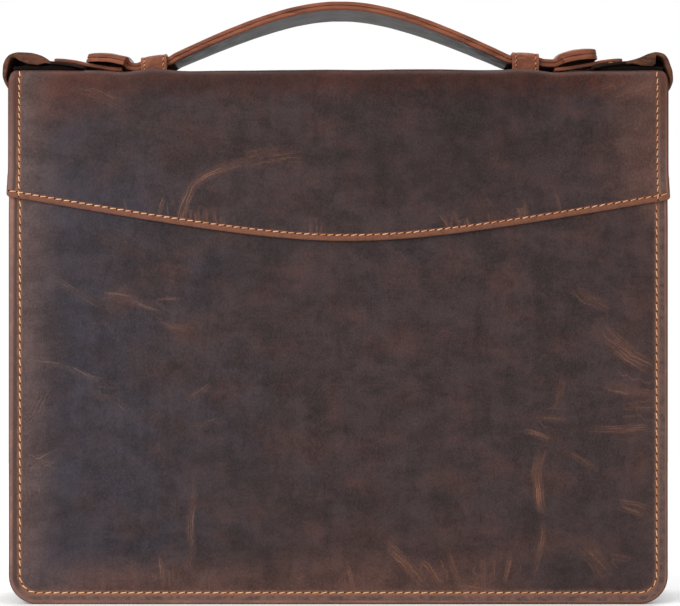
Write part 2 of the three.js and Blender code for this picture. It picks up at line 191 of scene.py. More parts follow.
def cloud(place, size, detail=3.0, rough=0.55, shift=(0, 0, 0)):  # noise in lumps of size mm
    sizes = size if isinstance(size, tuple) else (size, size, size)
    feeds = {"Vector": place, "Location": shift, "Scale": sizes}
    moved = addNode(place.id_data, "Mapping", feeds, vector_type="TEXTURE").outputs[0]
    feeds = {"Vector": moved, "Scale": 1.0, "Detail": detail, "Roughness": rough}
    return addNode(place.id_data, "TexNoise", feeds).outputs["Fac"]


def addRelief(shader, height, deep, strength):
    feeds = {"Height": height, "Distance": deep * mm, "Strength": strength}
    feed(shader, "Normal", addNode(height.id_data, "Bump", feeds).outputs[0])


def grain(place, pore, fine):  # leather pores over finer tooth
    feeds = {"Vector": place, "Scale": 1 / pore, "Randomness": 1.0}
    pores = addNode(place.id_data, "TexVoronoi", feeds, feature="F1").outputs["Distance"]
    tooth = cloud(place, fine, 2.0)
    return timesPlus(pores, 0.7, times(tooth, 0.6))


# Leather of the two panels: dark waxed pull-up leather with paler rims, blue-grey bloom that is wax haze
# and partly painted reflection, scuffs, and painted highlight and shade

panelLook = {
    "body": (53, 40, 40),
    "bloomAndReflection": (47, 42, 49),
    "russet": (66, 42, 36),
    "deep": (36, 26, 26),
    "spine": (56, 25, 16),
    "corner": (73, 36, 22),  # the top corners
    "polishAndHighlight": (79, 61, 58),  # inside the seam: painted highlight where the leather swells and catches the key light, and worn polish at the upper right
    "polishAndHighlightWarm": (82, 56, 49),
    "margin": (76, 53, 45),
    "marginRight": (101, 78, 70),
    "marginGrey": (50, 42, 43),
    "foot": (121, 88, 77),
    "rim": (116, 84, 76),
    "rimRight": (128, 86, 70),
    "rimDark": (72, 46, 39),
    "rimWorn": (150, 106, 90),
    "lip": (115, 72, 54),
    "seam": (138, 90, 64),
    "seamAt": 5.9,  # mm from the rim
    "glow": (112, 70, 54),  # bare warm leather under the scuffs
    "scuff": (137, 96, 73),
    "scuffGrey": (126, 102, 92),
    "glossy": 0.44,  # roughness, from patch to patch
    "dull": 0.58,
    "specular": 0.2,
}


def panelSockets(tree):  # what the steps of the panels' finish share
    place = millimetres(tree)
    x, _, z = addNode(tree, "SeparateXYZ", {0: place}).outputs
    wander = cloud(place, 16.0, 2.0)
    drift = addNode(tree, "CombineXYZ", {0: times(wander, 12.0), 2: wander}).outputs[0]
    swayed = addNode(tree, "VectorMath", {0: place, 1: drift}, operation="ADD").outputs[0]
    ragged = timesPlus(cloud(place, 6.0, 4.0, 0.65), 4.0, -2.0)
    broad = cloud(place, (38, 38, 32), 3.0, 0.6, (13, 0, 5))
    leftward = spread(x, -165.0, 0.0, 0.5, 0.2)
    downward = spread(z, 180.0, 250.0, 0.0, -0.1)
    bloomAndReflection = plus(timesPlus(broad, 0.5, leftward), downward)
    return SimpleNamespace(
        tree=tree, place=place, x=x, z=z, wander=wander, swayed=swayed, ragged=ragged,
        inset=mark(tree, "inset"),
        spine=timesPlus(ragged, 6.0, mark(tree, "belowSpine")),
        rightward=spread(x, -100.0, 150.0),
        bloomAndReflection=spread(bloomAndReflection, 0.46, 0.78),  # wax bloom and partly painted reflection, most of it at the lower left
        patchy=cloud(swayed, (24, 24, 18), 2.5, 0.6, (-40, 0, 77)),
        worn=cloud(place, (4.0, 4.0, 3.4), 5.0, 0.72, (3, 9, 4)),
        speckle=cloud(place, (1.0, 1.0, 1.3), 3.0, 0.75),
    )


def mottledLeather(look, at):  # blue-grey bloom, which is wax haze and partly painted reflection, russet where the wax has moved, dark clouds
    colour = mixColours(at.bloomAndReflection, look["body"], look["bloomAndReflection"])
    waxed = spread(at.bloomAndReflection, 0.2, 1.0, 1.0, 0.45)
    russet = times(spread(at.patchy, 0.44, 0.72, 0.0, 0.5), waxed)
    colour = mixColours(russet, colour, look["russet"])
    dark = cloud(at.swayed, (12, 12, 9), 4.0, 0.65, (31, 0, -20))
    colour = mixColours(spread(dark, 0.5, 0.75, 0.0, 0.6), colour, look["deep"])

    # darker at the upper right, warmer low in the middle
    upperRight = times(spread(at.x, -20.0, 40.0), spread(at.x, 80.0, 130.0, 1.0, 0.0))
    upperRight = times(upperRight, spread(at.z, 205.0, 225.0))
    colour = mixColours(times(upperRight, 0.3), colour, look["deep"])
    patches = spread(at.patchy, 0.3, 0.6, 0.4, 1.0)
    footWarm = times(spread(at.z, 20.0, 52.0, 0.14, 0.0), patches)
    fromMiddle = calc("ABSOLUTE", calc("SUBTRACT", at.x, 38.0))
    middle = spread(fromMiddle, 45.0, 75.0, 1.0, 0.0)
    return mixColours(times(footWarm, middle), colour, look["glow"])


def spineToneAndSeamHighlight(look, at, colour):  # warm along the spine, paler inside the seam: painted highlight where the leather swells and catches the key light, worn polish at the upper right
    outward = spread(calc("ABSOLUTE", at.x), 80.0, 160.0)
    spineTone = mixColours(outward, look["spine"], look["corner"])
    reachDown = spread(at.x, -165.0, -95.0, 46.0, 21.0)
    colour = mixColours(spread(at.spine, 0.0, reachDown, 0.9, 0.0), colour, spineTone)

    # painted highlight inside the seam at the left and the foot, where the leather swells and catches the
    # key light; worn polish at the upper right
    highlightTone = mixColours(spread(at.x, -160.0, -120.0), look["polishAndHighlight"], look["polishAndHighlightWarm"])
    upperEnd = times(spread(at.x, 90.0, 140.0), spread(at.z, 195.0, 220.0))
    polishAndHighlight = timesPlus(upperEnd, 0.85, spread(at.x, 60.0, 110.0, 0.9, 0.12))
    polishAndHighlight = times(polishAndHighlight, spread(at.worn, 0.25, 0.7, 0.8, 1.1))
    highlightEnd = timesPlus(upperEnd, 12.0, 32.0)
    inward = spread(plus(at.inset, at.ragged), 4.0, highlightEnd, 1.0, 0.0)
    return mixColours(times(polishAndHighlight, inward), colour, highlightTone)


def cloudedLeather(at, colour):  # lighter and darker clouds, faint upright strokes, fine speckle
    clouds = cloud(at.swayed, (17, 17, 12), 5.0, 0.62, (9, 0, 61))
    upright = cloud(at.swayed, (4.5, 4.5, 40), 3.0, 0.6)
    light = spread(clouds, 0.3, 0.7, 0.73, 1.27)
    light = plus(light, spread(upright, 0.3, 0.7, -0.09, 0.09))
    light = plus(light, spread(at.speckle, 0.3, 0.7, -0.26, 0.26))
    return addNode(at.tree, "HueSaturation", {"Value": light, "Color": colour}).outputs[0]


def wornEdges(look, at, colour):  # margins outside the seam, its warm line, the rims, the hem's lip
    marginTone = mixColours(at.rightward, look["margin"], look["marginRight"])
    marginTone = mixColours(spread(at.z, 5.0, 12.0, 1.0, 0.0), marginTone, look["foot"])
    greyed = spread(at.worn, 0.3, 0.75, 0.0, 0.8)
    marginTone = mixColours(greyed, marginTone, look["marginGrey"])
    margin = spread(plus(at.inset, at.ragged), 5.0, 9.0, 0.85, 0.0)
    colour = mixColours(margin, colour, marginTone)
    seam = calc("SUBTRACT", at.inset, look["seamAt"])
    seam = calc("ABSOLUTE", timesPlus(at.ragged, 0.3, seam))
    seam = times(spread(seam, 0.5, 1.8, 1.0, 0.0), spread(at.worn, 0.38, 0.64, 0.3, 0.95))
    seam = times(seam, spread(at.x, -100.0, 150.0, 1.0, 0.7))
    colour = mixColours(seam, colour, look["seam"])

    # the rims are pale at the left, narrow at the right and dark at the very edge; the pale is partly wear
    # and partly painted highlight, and the narrower pale band and wider dark edge at the right are painted
    # shade where the rim faces away from the key light
    rimTone = mixColours(at.rightward, look["rim"], look["rimRight"])
    rimTone = mixColours(spread(at.patchy, 0.46, 0.68, 0.0, 0.6), rimTone, look["rimWorn"])
    rimTone = mixColours(spread(at.worn, 0.15, 0.55, 0.45, 1.0), look["rimDark"], rimTone)
    narrowing = timesPlus(at.rightward, 0.55, spread(at.z, 60.0, 200.0, 1.3, 1.0))
    rimAt = timesPlus(at.ragged, 0.25, times(at.inset, narrowing))
    colour = mixColours(spread(rimAt, 2.0, 3.8, 0.95, 0.0), colour, rimTone)
    outermost = calc("DIVIDE", at.inset, timesPlus(at.rightward, 0.9, 1.0))
    colour = mixColours(spread(outermost, 0.25, 0.8, 0.85, 0.0), colour, look["rimDark"])
    topMargin = times(spread(at.spine, 0.0, 60.0, 0.8, 0.0), margin)
    colour = mixColours(topMargin, colour, look["corner"])
    lip = timesPlus(at.ragged, 0.15, mark(at.tree, "aboveHem"))
    lipTone = mixColours(spread(at.worn, 0.25, 0.55, 0.35, 1.0), look["rimDark"], look["lip"])
    return mixColours(spread(lip, 3.2, 4.3, 0.95, 0.0), colour, lipTone)


def scuffedLeather(look, at, colour):  # fine lines along each patch's own run, with painted shade in the furrows between
    across = mark(at.tree, "scuffAcross")
    waver = timesPlus(at.wander, 4.0, across)
    waver = timesPlus(cloud(at.place, 5.0, 2.0), 1.2, waver)
    along = times(mark(at.tree, "scuffAlong"), 0.045)
    lineAt = addNode(at.tree, "CombineXYZ", {0: times(waver, 1.5), 1: along}).outputs[0]
    lines = addNode(at.tree, "TexNoise", {"Vector": lineAt, "Scale": 1.0, "Detail": 1.0}).outputs["Fac"]
    reach = calc("DIVIDE", calc("ABSOLUTE", across), mark(at.tree, "scuffWidth"))
    patch = times(mark(at.tree, "scuff"), spread(reach, 0.3, 1.0, 1.0, 0.0))
    patch = times(patch, spread(at.speckle, 0.3, 0.6, 0.55, 1.0))
    glow = times(patch, spread(at.bloomAndReflection, 0.0, 1.0, 0.34, 0.1))
    colour = mixColours(glow, colour, look["glow"])
    # painted shade in the furrows between the crease lines
    furrowShade = times(patch, spread(lines, 0.3, 0.46, 0.7, 0.0))
    colour = mixColours(furrowShade, colour, look["deep"])
    ridges = times(patch, spread(lines, 0.52, 0.7, 0.08, 1.0))
    scuffTone = mixColours(at.bloomAndReflection, look["scuff"], look["scuffGrey"])
    return mixColours(ridges, colour, scuffTone)


def panelFinish():
    look = {key: tone(*value) if isinstance(value, tuple) else value for key, value in panelLook.items()}
    finish, tree, shader = startFinish("pullUpLeather", specular=look["specular"])
    at = panelSockets(tree)
    colour = mottledLeather(look, at)
    colour = spineToneAndSeamHighlight(look, at, colour)
    colour = cloudedLeather(at, colour)
    colour = wornEdges(look, at, colour)
    colour = scuffedLeather(look, at, colour)
    feed(shader, "Base Color", colour)
    roughness = spread(at.patchy, 0.3, 0.7, look["glossy"], look["dull"])
    feed(shader, "Roughness", roughness)
    addRelief(shader, grain(at.place, 0.9, 0.35), 0.12, 0.45)
    return finish


# Leather of the straps: brown face, bare copper-brown cut edge, smooth grey underside

strapLook = {
    "face": {"body": (96, 58, 44), "dark": (66, 40, 32), "pale": (128, 84, 64)},
    "edge": {"body": (130, 75, 53), "dark": (102, 56, 39), "pale": (150, 93, 67)},
    "under": {"body": (68, 62, 61), "dark": (46, 40, 38), "pale": (94, 88, 87)},
    "loop": {"body": (134, 78, 54), "dark": (104, 58, 40), "pale": (154, 98, 70)},
    "hood": {"body": (92, 58, 43), "dark": (58, 37, 27), "pale": (120, 80, 61)},
    "lining": {"body": (84, 55, 43), "dark": (58, 37, 29), "pale": (104, 74, 60)},
    # painted shade: leather coloured as it looks in the dark under the tabs
    "dark": {"body": (36, 24, 20), "dark": (24, 16, 14), "pale": (50, 34, 28)},
}


def strapFinish(name, kind, roughness=0.5, along=26.0, specular=0.22, darkeningReach=None):
    look = {key: tone(*value) for key, value in strapLook[kind].items()}
    finish, tree, shader = startFinish(name, specular=specular)
    place = millimetres(tree)
    patches = cloud(place, (along, 6.0, 5.0), 4.0, 0.6)
    colour = mixColours(spread(patches, 0.36, 0.62), look["dark"], look["body"])
    streaks = cloud(place, (along * 0.6, 0.9, 0.7), 3.0, 0.6, (7, 3, 1))
    colour = mixColours(spread(streaks, 0.52, 0.74, 0.0, 0.7), colour, look["pale"])
    if darkeningReach:  # palest in the middle, darker out to this many mm
        x = addNode(tree, "SeparateXYZ", {0: place}).outputs[0]
        outward = spread(calc("ABSOLUTE", x), 0.3 * darkeningReach, darkeningReach, 0.0, 0.75)
        colour = mixColours(outward, colour, look["dark"])
    feed(shader, "Base Color", colour)
    patchRoughness = spread(patches, 0.3, 0.7, roughness - 0.08, roughness + 0.1)
    feed(shader, "Roughness", patchRoughness)
    addRelief(shader, grain(place, 0.8, 0.3), 0.1, 0.45)
    return finish


# Woven tape, zip teeth, aged brass, thread

tapeLook = {
    "yarn": (30, 21, 18), "gap": (12, 9, 8), "fold": (46, 34, 28), "pitch": 0.62,
    "sheen": {"Sheen Weight": 0.06, "Sheen Roughness": 0.5},
}


def tapeFinish():
    finish, tree, shader = startFinish("wovenTape", 0.9, 0.08, **tapeLook["sheen"])
    yarn, gap, fold = (tone(*tapeLook[key]) for key in ("yarn", "gap", "fold"))
    place = millimetres(tree)
    parts = addNode(tree, "SeparateXYZ", {0: place})
    turn = 2 * math.pi / tapeLook["pitch"]
    waves = [calc("SINE", times(part, turn)) for part in parts.outputs]
    ribs = times(waves[0], timesPlus(waves[1], 0.5, 0.5))
    weave = plus(ribs, times(waves[2], 0.6))
    colour = mixColours(spread(weave, -0.8, 0.8), gap, yarn)
    dusty = cloud(place, 6.0, 4.0, 0.6)
    colour = mixColours(spread(dusty, 0.5, 0.75, 0.0, 0.6), colour, fold)
    feed(shader, "Base Color", colour)
    addRelief(shader, weave, 0.12, 0.6)
    return finish


brassLook = {
    "teeth": {"bright": (92, 76, 54), "tarnish": (44, 37, 30), "roughness": 0.42},
    "slider": {"bright": (156, 126, 82), "tarnish": (116, 92, 60), "roughness": 0.34},
}


def brassFinish(name, kind):
    look = brassLook[kind]
    finish, tree, shader = startFinish(name, specular=0.5, Metallic=1.0)
    place = millimetres(tree)
    wear = cloud(place, 2.6, 4.0, 0.65)
    colour = mixColours(spread(wear, 0.38, 0.66), tone(*look["tarnish"]), tone(*look["bright"]))
    feed(shader, "Base Color", colour)
    roughness = spread(wear, 0.3, 0.7, look["roughness"] + 0.15, look["roughness"] - 0.05)
    feed(shader, "Roughness", roughness)
    addRelief(shader, cloud(place, 0.4, 3.0), 0.04, 0.3)
    return finish


threadLook = {"pale": (230, 184, 146), "dark": (184, 116, 70)}
# needle holes: dark discs that paint the shade inside each hole
holeLook = {"dark": (52, 28, 20), "pale": (78, 44, 31)}


def threadFinish():
    finish, tree, shader = startFinish("waxedThread", 0.6, 0.25)
    place = millimetres(tree)
    fibres = cloud(place, 0.35, 3.0, 0.6)
    share = plus(mark(tree, "shade"), spread(fibres, 0.3, 0.7, -0.25, 0.25))
    dark, pale = tone(*threadLook["dark"]), tone(*threadLook["pale"])
    colour = mixColours(spread(share, 0.0, 1.0), dark, pale)
    feed(shader, "Base Color", colour)
    addRelief(shader, fibres, 0.08, 0.5)
    return finish


def holeFinish():
    finish, tree, shader = startFinish("needleHoleShade", 0.9, 0.1)
    shade = cloud(millimetres(tree), 0.6, 2.0)
    colour = mixColours(shade, tone(*holeLook["dark"]), tone(*holeLook["pale"]))
    feed(shader, "Base Color", colour)
    return finish


finishes = {
    "panel": panelFinish(),
    "face": strapFinish("strapFace", "face"),
    "edge": strapFinish("strapCutEdge", "edge", 0.55),
    "under": strapFinish("strapUnderside", "under", 0.36, 12.0, 0.2, 85.0),
    "loop": strapFinish("loopLeather", "loop", 0.5, 9.0),
    "hood": strapFinish("earLeather", "hood", 0.65, 9.0, 0.1),
    "lining": strapFinish("earLining", "lining", 0.95, 9.0, 0.02),
    "dark": strapFinish("shadedLeather", "dark", 0.7, 9.0, 0.08),
    "tape": tapeFinish(),
    "teeth": brassFinish("zipTeeth", "teeth"),
    "brass": brassFinish("agedBrass", "slider"),
    "thread": threadFinish(),
    "hole": holeFinish(),
}
print("finishes made:", len(finishes))


# The two panels: grids of points over an outer and an inner face that meet round the rim

panels = {
    "upperHalf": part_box("cover_wrap")[1].x / mm,  # half width of the back, the spine and the upper front
    "lowerHalf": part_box("front_lower")[1].x / mm,
    "height": 283.5,
    "halfDepth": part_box("cover_wrap")[1].y / mm,
    "wall": 3.0,
    "bottomCorner": 15.0,
    "topAcross": 4.0,  # the top corners are drawn in by this much, over this height
    "topDown": 9.0,
    "spineBend": 5.0,
    "rollOut": 3.2,  # width of the rounded rim on the face and on the inside
    "rollIn": 1.5,
    "stitchInset": 6.1,
    "groove": 0.45,
    "grooveWidth": 0.75,
    "marginDrop": 0.3,  # the margin lies under the face, whose middle swells
    "marginFrom": 6.3,  # the drop ends between these insets
    "marginTo": 12.0,
    "sway": 0.3,  # slow waves, which come in between these insets
    "swayFrom": 5.0,
    "swayTo": 40.0,
    "swayLengths": (190, 120, 75, 48, 30),
    "step": 2.3,  # mesh size across, then rows of mesh down each stretch
    "backRows": 62, "bendRows": 9, "spineRows": 20, "upperRows": 34, "lowerRows": 76,
}

hem = {
    "lowest": 192.4, "middle": 5.0, "rise": 11.8, "run": 63.5,
    "proud": 1.3, "lip": 1.9, "lap": 10.0, "fade": 22.0, "shoulder": 3.5, "dip": 12.0,
    "roll": 1.7, "corner": 1.6, "stitchUp": 3.1, "groove": 0.3, "grooveWidth": 0.6,
    "flare": 0.5, "flareUp": 7.0, "flareIn": 20.0,  # the hem's ends stand out a little
    "gap": 0.3, "tuckRound": 0.35,  # of the lower panel's edge behind the hem
}

# rows of mesh inwards from a rim, close together where it rolls over and where the seam lies
rimInsets = np.array([
    0, 0.12, 0.35, 0.7, 1.2, 1.8, 2.5, 3.3, 4.1, 4.8, 5.3,
    5.7, 6.1, 6.5, 6.9, 7.4, 8.1, 9.2, 10.8, 12.8, 15,
])

# swells and dips of the spine beside the loops: place, rise, spread
spineRelief = [(-114, -0.9, 8), (-98.7, 1, 10), (100.2, 1, 10), (116, -0.9, 8)]

# scuffs and creases of the front: half width, strength, then x and z along the line
scuffs = [
    (4, 0.36, [(-158, 174.5), (-150.5, 171), (-141, 166), (-127, 159.5), (-119, 157)]),
    (4.2, 0.35, [(-131, 165), (-122, 164), (-115, 163), (-105.5, 159.5), (-94, 156), (-85, 152.5)]),
    (1.8, 0.3, [(-104, 160.8), (-91, 161.5), (-78, 161.5)]),
    (2.4, 0.3, [(-101, 152.6), (-90, 148), (-78, 145.4), (-72, 144.5)]),
    (3, 0.5, [(-168, 129), (-152, 128.5), (-143, 125.5), (-133.5, 120.7), (-127, 118.3), (-114, 117.8)]),
    (2.4, 0.42, [(-132, 111.2), (-119.5, 109), (-112.5, 103.5), (-109, 99)]),
    (2.2, 0.42, [(-82, 107.5), (-73.5, 112.2), (-65, 118)]),
    (6, 0.3, [(-153.5, 119), (-157.5, 109), (-162, 101), (-169, 94)]),
    (2, 0.34, [(-80, 96), (-71, 95.3), (-60, 98.8)]),
    (4, 0.26, [(136, 266.5), (146, 268), (157, 272), (172, 277)]),
    (3.5, 0.22, [(128, 270), (148, 274), (172, 280)]),
    (4.5, 0.28, [
        (-148, 277), (-137, 273.3), (-128.6, 270.6), (-122.8, 267.8), (-115.4, 263.8), (-108, 259),
    ]),
    (3.6, 0.75, [(109, 87), (107, 79), (105, 71), (106, 58), (108, 45)]),
    (2.2, 0.55, [(108, 50), (108.5, 34), (106, 26), (101.5, 12)]),
    (3, 0.42, [(-77, 74), (-76.5, 60), (-77.8, 50), (-78.6, 42), (-77.5, 30), (-78.5, 12)]),
    (4, 0.6, [(23, 35), (34.5, 23), (47, 8)]),
    (3, 0.45, [(42, 27), (49, 18), (57, 7)]),
    (2.2, 0.6, [(57, 32), (59.5, 24), (65, 8)]),
    (1.8, 0.5, [(4, 25), (7, 15), (8.6, 6)]),
    (5, 0.35, [(56, 11), (82, 10)]),
    (3, 0.4, [(-108, 27), (-109.5, 19), (-106, 9)]),
    (3, 0.3, [(-98.5, 19), (-97.5, 10)]),
    (1.6, 0.5, [(-95, 30), (-94, 20), (-92.5, 7)]),
    (1.4, 0.42, [(-90.3, 23), (-89.5, 15), (-88.8, 7)]),
    (1.4, 0.35, [(-84, 22), (-84.5, 8)]),
    (7, 0.3, [(-60, 232.5), (-38, 237.5), (-12, 238)]),
    (2.6, 0.35, [(116, 84), (134.5, 73), (140, 69)]),
    (2.6, 0.4, [(96, 93), (106, 90), (114, 86)]),
    (3, 0.5, [(130, 92.6), (142, 92.8), (151, 92.5), (160, 94), (171, 93.6)]),
    (3, 0.3, [(117, 128), (118, 114), (115, 104), (113, 96)]),
    (2, 0.35, [(103, 98.8), (112, 98.2), (123, 97.3)]),
    (5, 0.35, [(146, 54), (167, 48)]),
    (6, 0.42, [(127, 34), (135, 25), (146, 11.5)]),
    (2.6, 0.35, [(137, 26), (158, 23.5)]),
    (1.8, 0.5, [(-169, 80), (-163, 78.5), (-159, 75.8), (-155, 78.8), (-147, 82)]),
    (1.6, 0.4, [(-170, 72.2), (-160, 73), (-154.5, 73.6), (-145, 71)]),
    (1.6, 0.4, [(-169, 62.8), (-162, 64.3), (-155, 61.5)]),
    (1.8, 0.5, [(-163, 55), (-156, 60), (-147, 62.5)]),
    (2, 0.6, [(76, 26), (77, 16), (78, 6)]),
    (2, 0.5, [(92, 30), (87, 9)]),
    (4.5, 0.42, [(122, 169), (130, 163), (138, 159.5), (147, 155)]),
    (6.5, 0.5, [(131, 152), (146, 139), (155, 131.5), (168, 124), (176, 119.5)]),
    (4, 0.4, [(136, 120), (146, 115), (157, 112.6), (174, 110)]),
    (3, 0.32, [(148, 105), (157, 104), (175, 103.5)]),
]

scuffReach = {"weakest": 0.02, "soft": 5, "apart": 400}  # apart: so that no two patches share their lines

# strokes drawn up from the hem: x at the hem, lean, height, half width, strength
hemStrokes = [
    (-112.3, -1.5, 9, 1.2, 0.4), (-94.5, 3.2, 12, 1.5, 0.6), (-75.3, -1.6, 10, 1.5, 0.55),
    (-71.7, 2.0, 10, 1.3, 0.5), (-64.8, -3.6, 12, 1.7, 0.6), (-60.5, -1.0, 8, 1.2, 0.35),
    (-14.7, 0.5, 12, 1.2, 0.5), (-9.7, 3.0, 9, 1.3, 0.4), (58.4, -6.5, 9, 1.8, 0.45),
    (63.6, -4.6, 12, 1.8, 0.5), (68.9, -4.2, 8, 1.8, 0.5), (80.4, -1.8, 7, 1.2, 0.35),
    (96.1, -3.2, 9, 1.4, 0.5), (99.2, -2.2, 13, 1.6, 0.55), (117.5, -4.4, 13, 1.4, 0.5),
]

# the long pale smear over the hem, as points in the front view
smear = {
    "route": [
        (-83.6, 199), (-82.8, 206), (-81, 214), (-77.5, 221),
        (-71.5, 226.5), (-61, 231), (-51, 234.3), (-36, 237),
    ],
    "half": 3.4, "strength": 0.6, "fadeIn": 5, "fadeOut": 30,
}


def hemAt(x):
    return hem["lowest"] + flatBow(x - hem["middle"], hem["rise"], hem["run"])


def spineAt(x):
    return panels["height"] + sum(rise * hump(x, at, width) for at, rise, width in spineRelief)


def columnsAcross(half):
    edge = half - rimInsets
    middle = np.linspace(-edge[-1], edge[-1], round(2 * edge[-1] / panels["step"]) + 1)
    return np.concatenate([-edge[:-1], middle, edge[:-1][::-1]])


def roundCorner(side, end, radius):  # insets from two edges, moved so that they run round the corner
    near = np.minimum(side, end)
    inside = (side < radius) & (end < radius)
    reach = np.maximum(radius - near, 1e-6)
    turn = np.where(inside, (radius - np.maximum(side, end)) / reach, 0) * math.pi / 4
    short = radius - reach * np.cos(turn)
    long = radius - reach * np.sin(turn)
    low = end <= side
    newSide = np.where(inside, np.where(low, long, short), side)
    newEnd = np.where(inside, np.where(low, short, long), end)
    return newSide, newEnd, near


def roll(inset, reach):  # rounding of a rim, 0 at its edge and 1 on the flat
    return np.sqrt(1 - (1 - np.clip(inset / reach, 0, 1)) ** 2)


def sway(x, z, seed):  # slow waves of a hand-cut panel
    draw = np.random.default_rng(seed)
    total = 0
    for length in panels["swayLengths"]:
        angle, start = draw.uniform(0, math.pi), draw.uniform(0, 2 * math.pi)
        run = x * math.cos(angle) + z * math.sin(angle)
        total = total + length * np.sin(run * 2 * math.pi / length + start)
    return panels["sway"] * total / panels["swayLengths"][0]


def window(value, low, high, soft):
    return smoothRise(value, low, low + soft) * smoothRise(-value, -high, -high + soft)


def followRoute(x, z, points):  # run along a route through points, signed distance across it, whole length
    route = np.array(points, float)
    best = np.full(x.shape, 1e9)
    along = np.zeros(x.shape)
    across = np.zeros(x.shape)
    done = 0.0
    for start, end in zip(route[:-1], route[1:]):
        run = end - start
        length = np.hypot(*run)
        share = np.clip(((x - start[0]) * run[0] + (z - start[1]) * run[1]) / length ** 2, 0, 1)
        dx = x - start[0] - run[0] * share
        dz = z - start[1] - run[1] * share
        gap = np.hypot(dx, dz)
        closer = gap < best
        along = np.where(closer, done + share * length, along)
        across = np.where(closer, np.sign(run[0] * dz - run[1] * dx) * gap, across)
        best = np.minimum(best, gap)
        done += length
    return along, across, done


def scuffPatches(x, z, overHem):  # each patch's run along, distance across, half width and strength
    for half, strength, points in scuffs:
        along, across, length = followRoute(x, z, points)
        yield along, across, half, strength * window(along, 0, length, 0.4 * length)
    for start, lean, height, half, strength in hemStrokes:
        foot = hemAt(start) + hem["stitchUp"]
        bend = (start + 0.3 * lean, foot + 0.5 * height)
        along, across, length = followRoute(x, z, [(start, foot), bend, (start + lean, foot + height)])
        yield along, across, half, strength * smoothRise(-along, -length, -0.3 * length) * overHem
    along, across, length = followRoute(x, z, smear["route"])
    ends = smoothRise(along, 0, smear["fadeIn"]) * smoothRise(-along, -length, smear["fadeOut"] - length)
    yield along, across, smear["half"], smear["strength"] * ends * overHem


def scuffMarks(x, z, overHem, onFront):  # each point takes the patch that counts most there
    marks = {
        "scuffAlong": np.zeros(x.shape), "scuffAcross": np.full(x.shape, far),
        "scuffWidth": np.ones(x.shape), "scuff": np.zeros(x.shape),
    }
    best = np.full(x.shape, scuffReach["weakest"])
    for number, (along, across, half, strength) in enumerate(scuffPatches(x, z, overHem)):
        weight = strength * smoothRise(-np.abs(across), -half - scuffReach["soft"], -half + 1)
        owned = weight > best
        best = np.where(owned, weight, best)
        values = (along + scuffReach["apart"] * number, across, half, strength * onFront)
        for label, value in zip(marks, values):
            marks[label] = np.where(owned, value, marks[label])
    return marks


def shellMesh(outer, inner):  # two grids of points that share their border
    rows, columns = outer.shape[:2]
    face = np.arange(rows * columns).reshape(rows, columns)
    back = face + rows * columns
    for border in (np.s_[0], np.s_[-1], np.s_[:, 0], np.s_[:, -1]):
        back[border] = face[border]
    quads = []
    for grid, order in ((face, 1), (back, -1)):
        corners = np.stack([grid[:-1, :-1], grid[1:, :-1], grid[1:, 1:], grid[:-1, 1:]], -1)
        quads.append(corners.reshape(-1, 4)[:, ::order])
    used, faces = np.unique(np.concatenate(quads), return_inverse=True)
    points = np.concatenate([outer.reshape(-1, 3), inner.reshape(-1, 3)])[used]
    return points, faces.reshape(-1, 4), used


def buildPanel(name, node, half, x, path, seed):
    # rows of the path: y, z, normal y, normal z, insets from foot and hem, outer and inner half wall
    y, z, normalY, normalZ, foot, hemUp, outHalf, inHalf = np.array(path).transpose(1, 0, 2)
    x = np.broadcast_to(x, y.shape)
    side = half - np.abs(x)
    footSide, newFoot, near = roundCorner(side, foot, panels["bottomCorner"])
    hemSide, newHem, hemNear = roundCorner(side, hemUp, hem["corner"])
    z = z + newFoot - foot + newHem - hemUp
    out = half - footSide - hemSide + side
    up = np.clip((z - panels["height"]) / panels["topDown"] + 1, 0, 1)
    out = out * (1 - panels["topAcross"] * (1 - np.sqrt(1 - up ** 2)) / half)
    out = out + hem["flare"] * hump(hemUp, 0, hem["flareUp"]) * smoothRise(out, half - hem["flareIn"], half)
    x = np.sign(x) * out
    rim = np.minimum(near, hemNear)

    flat = np.abs(normalY)
    relief = -panels["groove"] * hump(near, panels["stitchInset"], panels["grooveWidth"])
    relief = relief * smoothRise(flat, 0.3, 0.9)
    drop = 1 - smoothRise(near, panels["marginFrom"], panels["marginTo"])
    relief = relief - panels["marginDrop"] * drop * flat
    relief = relief - hem["groove"] * hump(hemUp, hem["stitchUp"], hem["grooveWidth"])
    relief = relief + sway(x, z, seed) * smoothRise(near, panels["swayFrom"], panels["swayTo"])
    relief = relief * smoothRise(rim, 0, 2.5)
    middle = (outHalf - inHalf) / 2
    halfWall = (outHalf + inHalf) / 2
    reach = np.where(hemNear < near, hem["roll"], panels["rollOut"])
    lifted = middle + halfWall * roll(rim, reach) + relief
    sunk = middle - halfWall * roll(rim, panels["rollIn"])
    outer = np.stack([x, y + normalY * lifted, z + normalZ * lifted], -1)
    inner = np.stack([x, y + normalY * sunk, z + normalZ * sunk], -1)
    points, faces, used = shellMesh(outer, inner)

    onFront = normalY < -0.5
    marks = {
        "inset": near,
        "aboveHem": np.where(onFront, hemUp, far),
        "belowSpine": np.where(flat < 0.5, 0, panels["height"] - z),
        **scuffMarks(x, z, hemUp < far, onFront),
    }
    marks = {label: np.tile(values.ravel(), 2)[used] for label, values in marks.items()}
    addPiece(name, node, points, faces, ["panel"], None, marks)
    return BVHTree.FromPolygons(points.tolist(), faces.tolist())


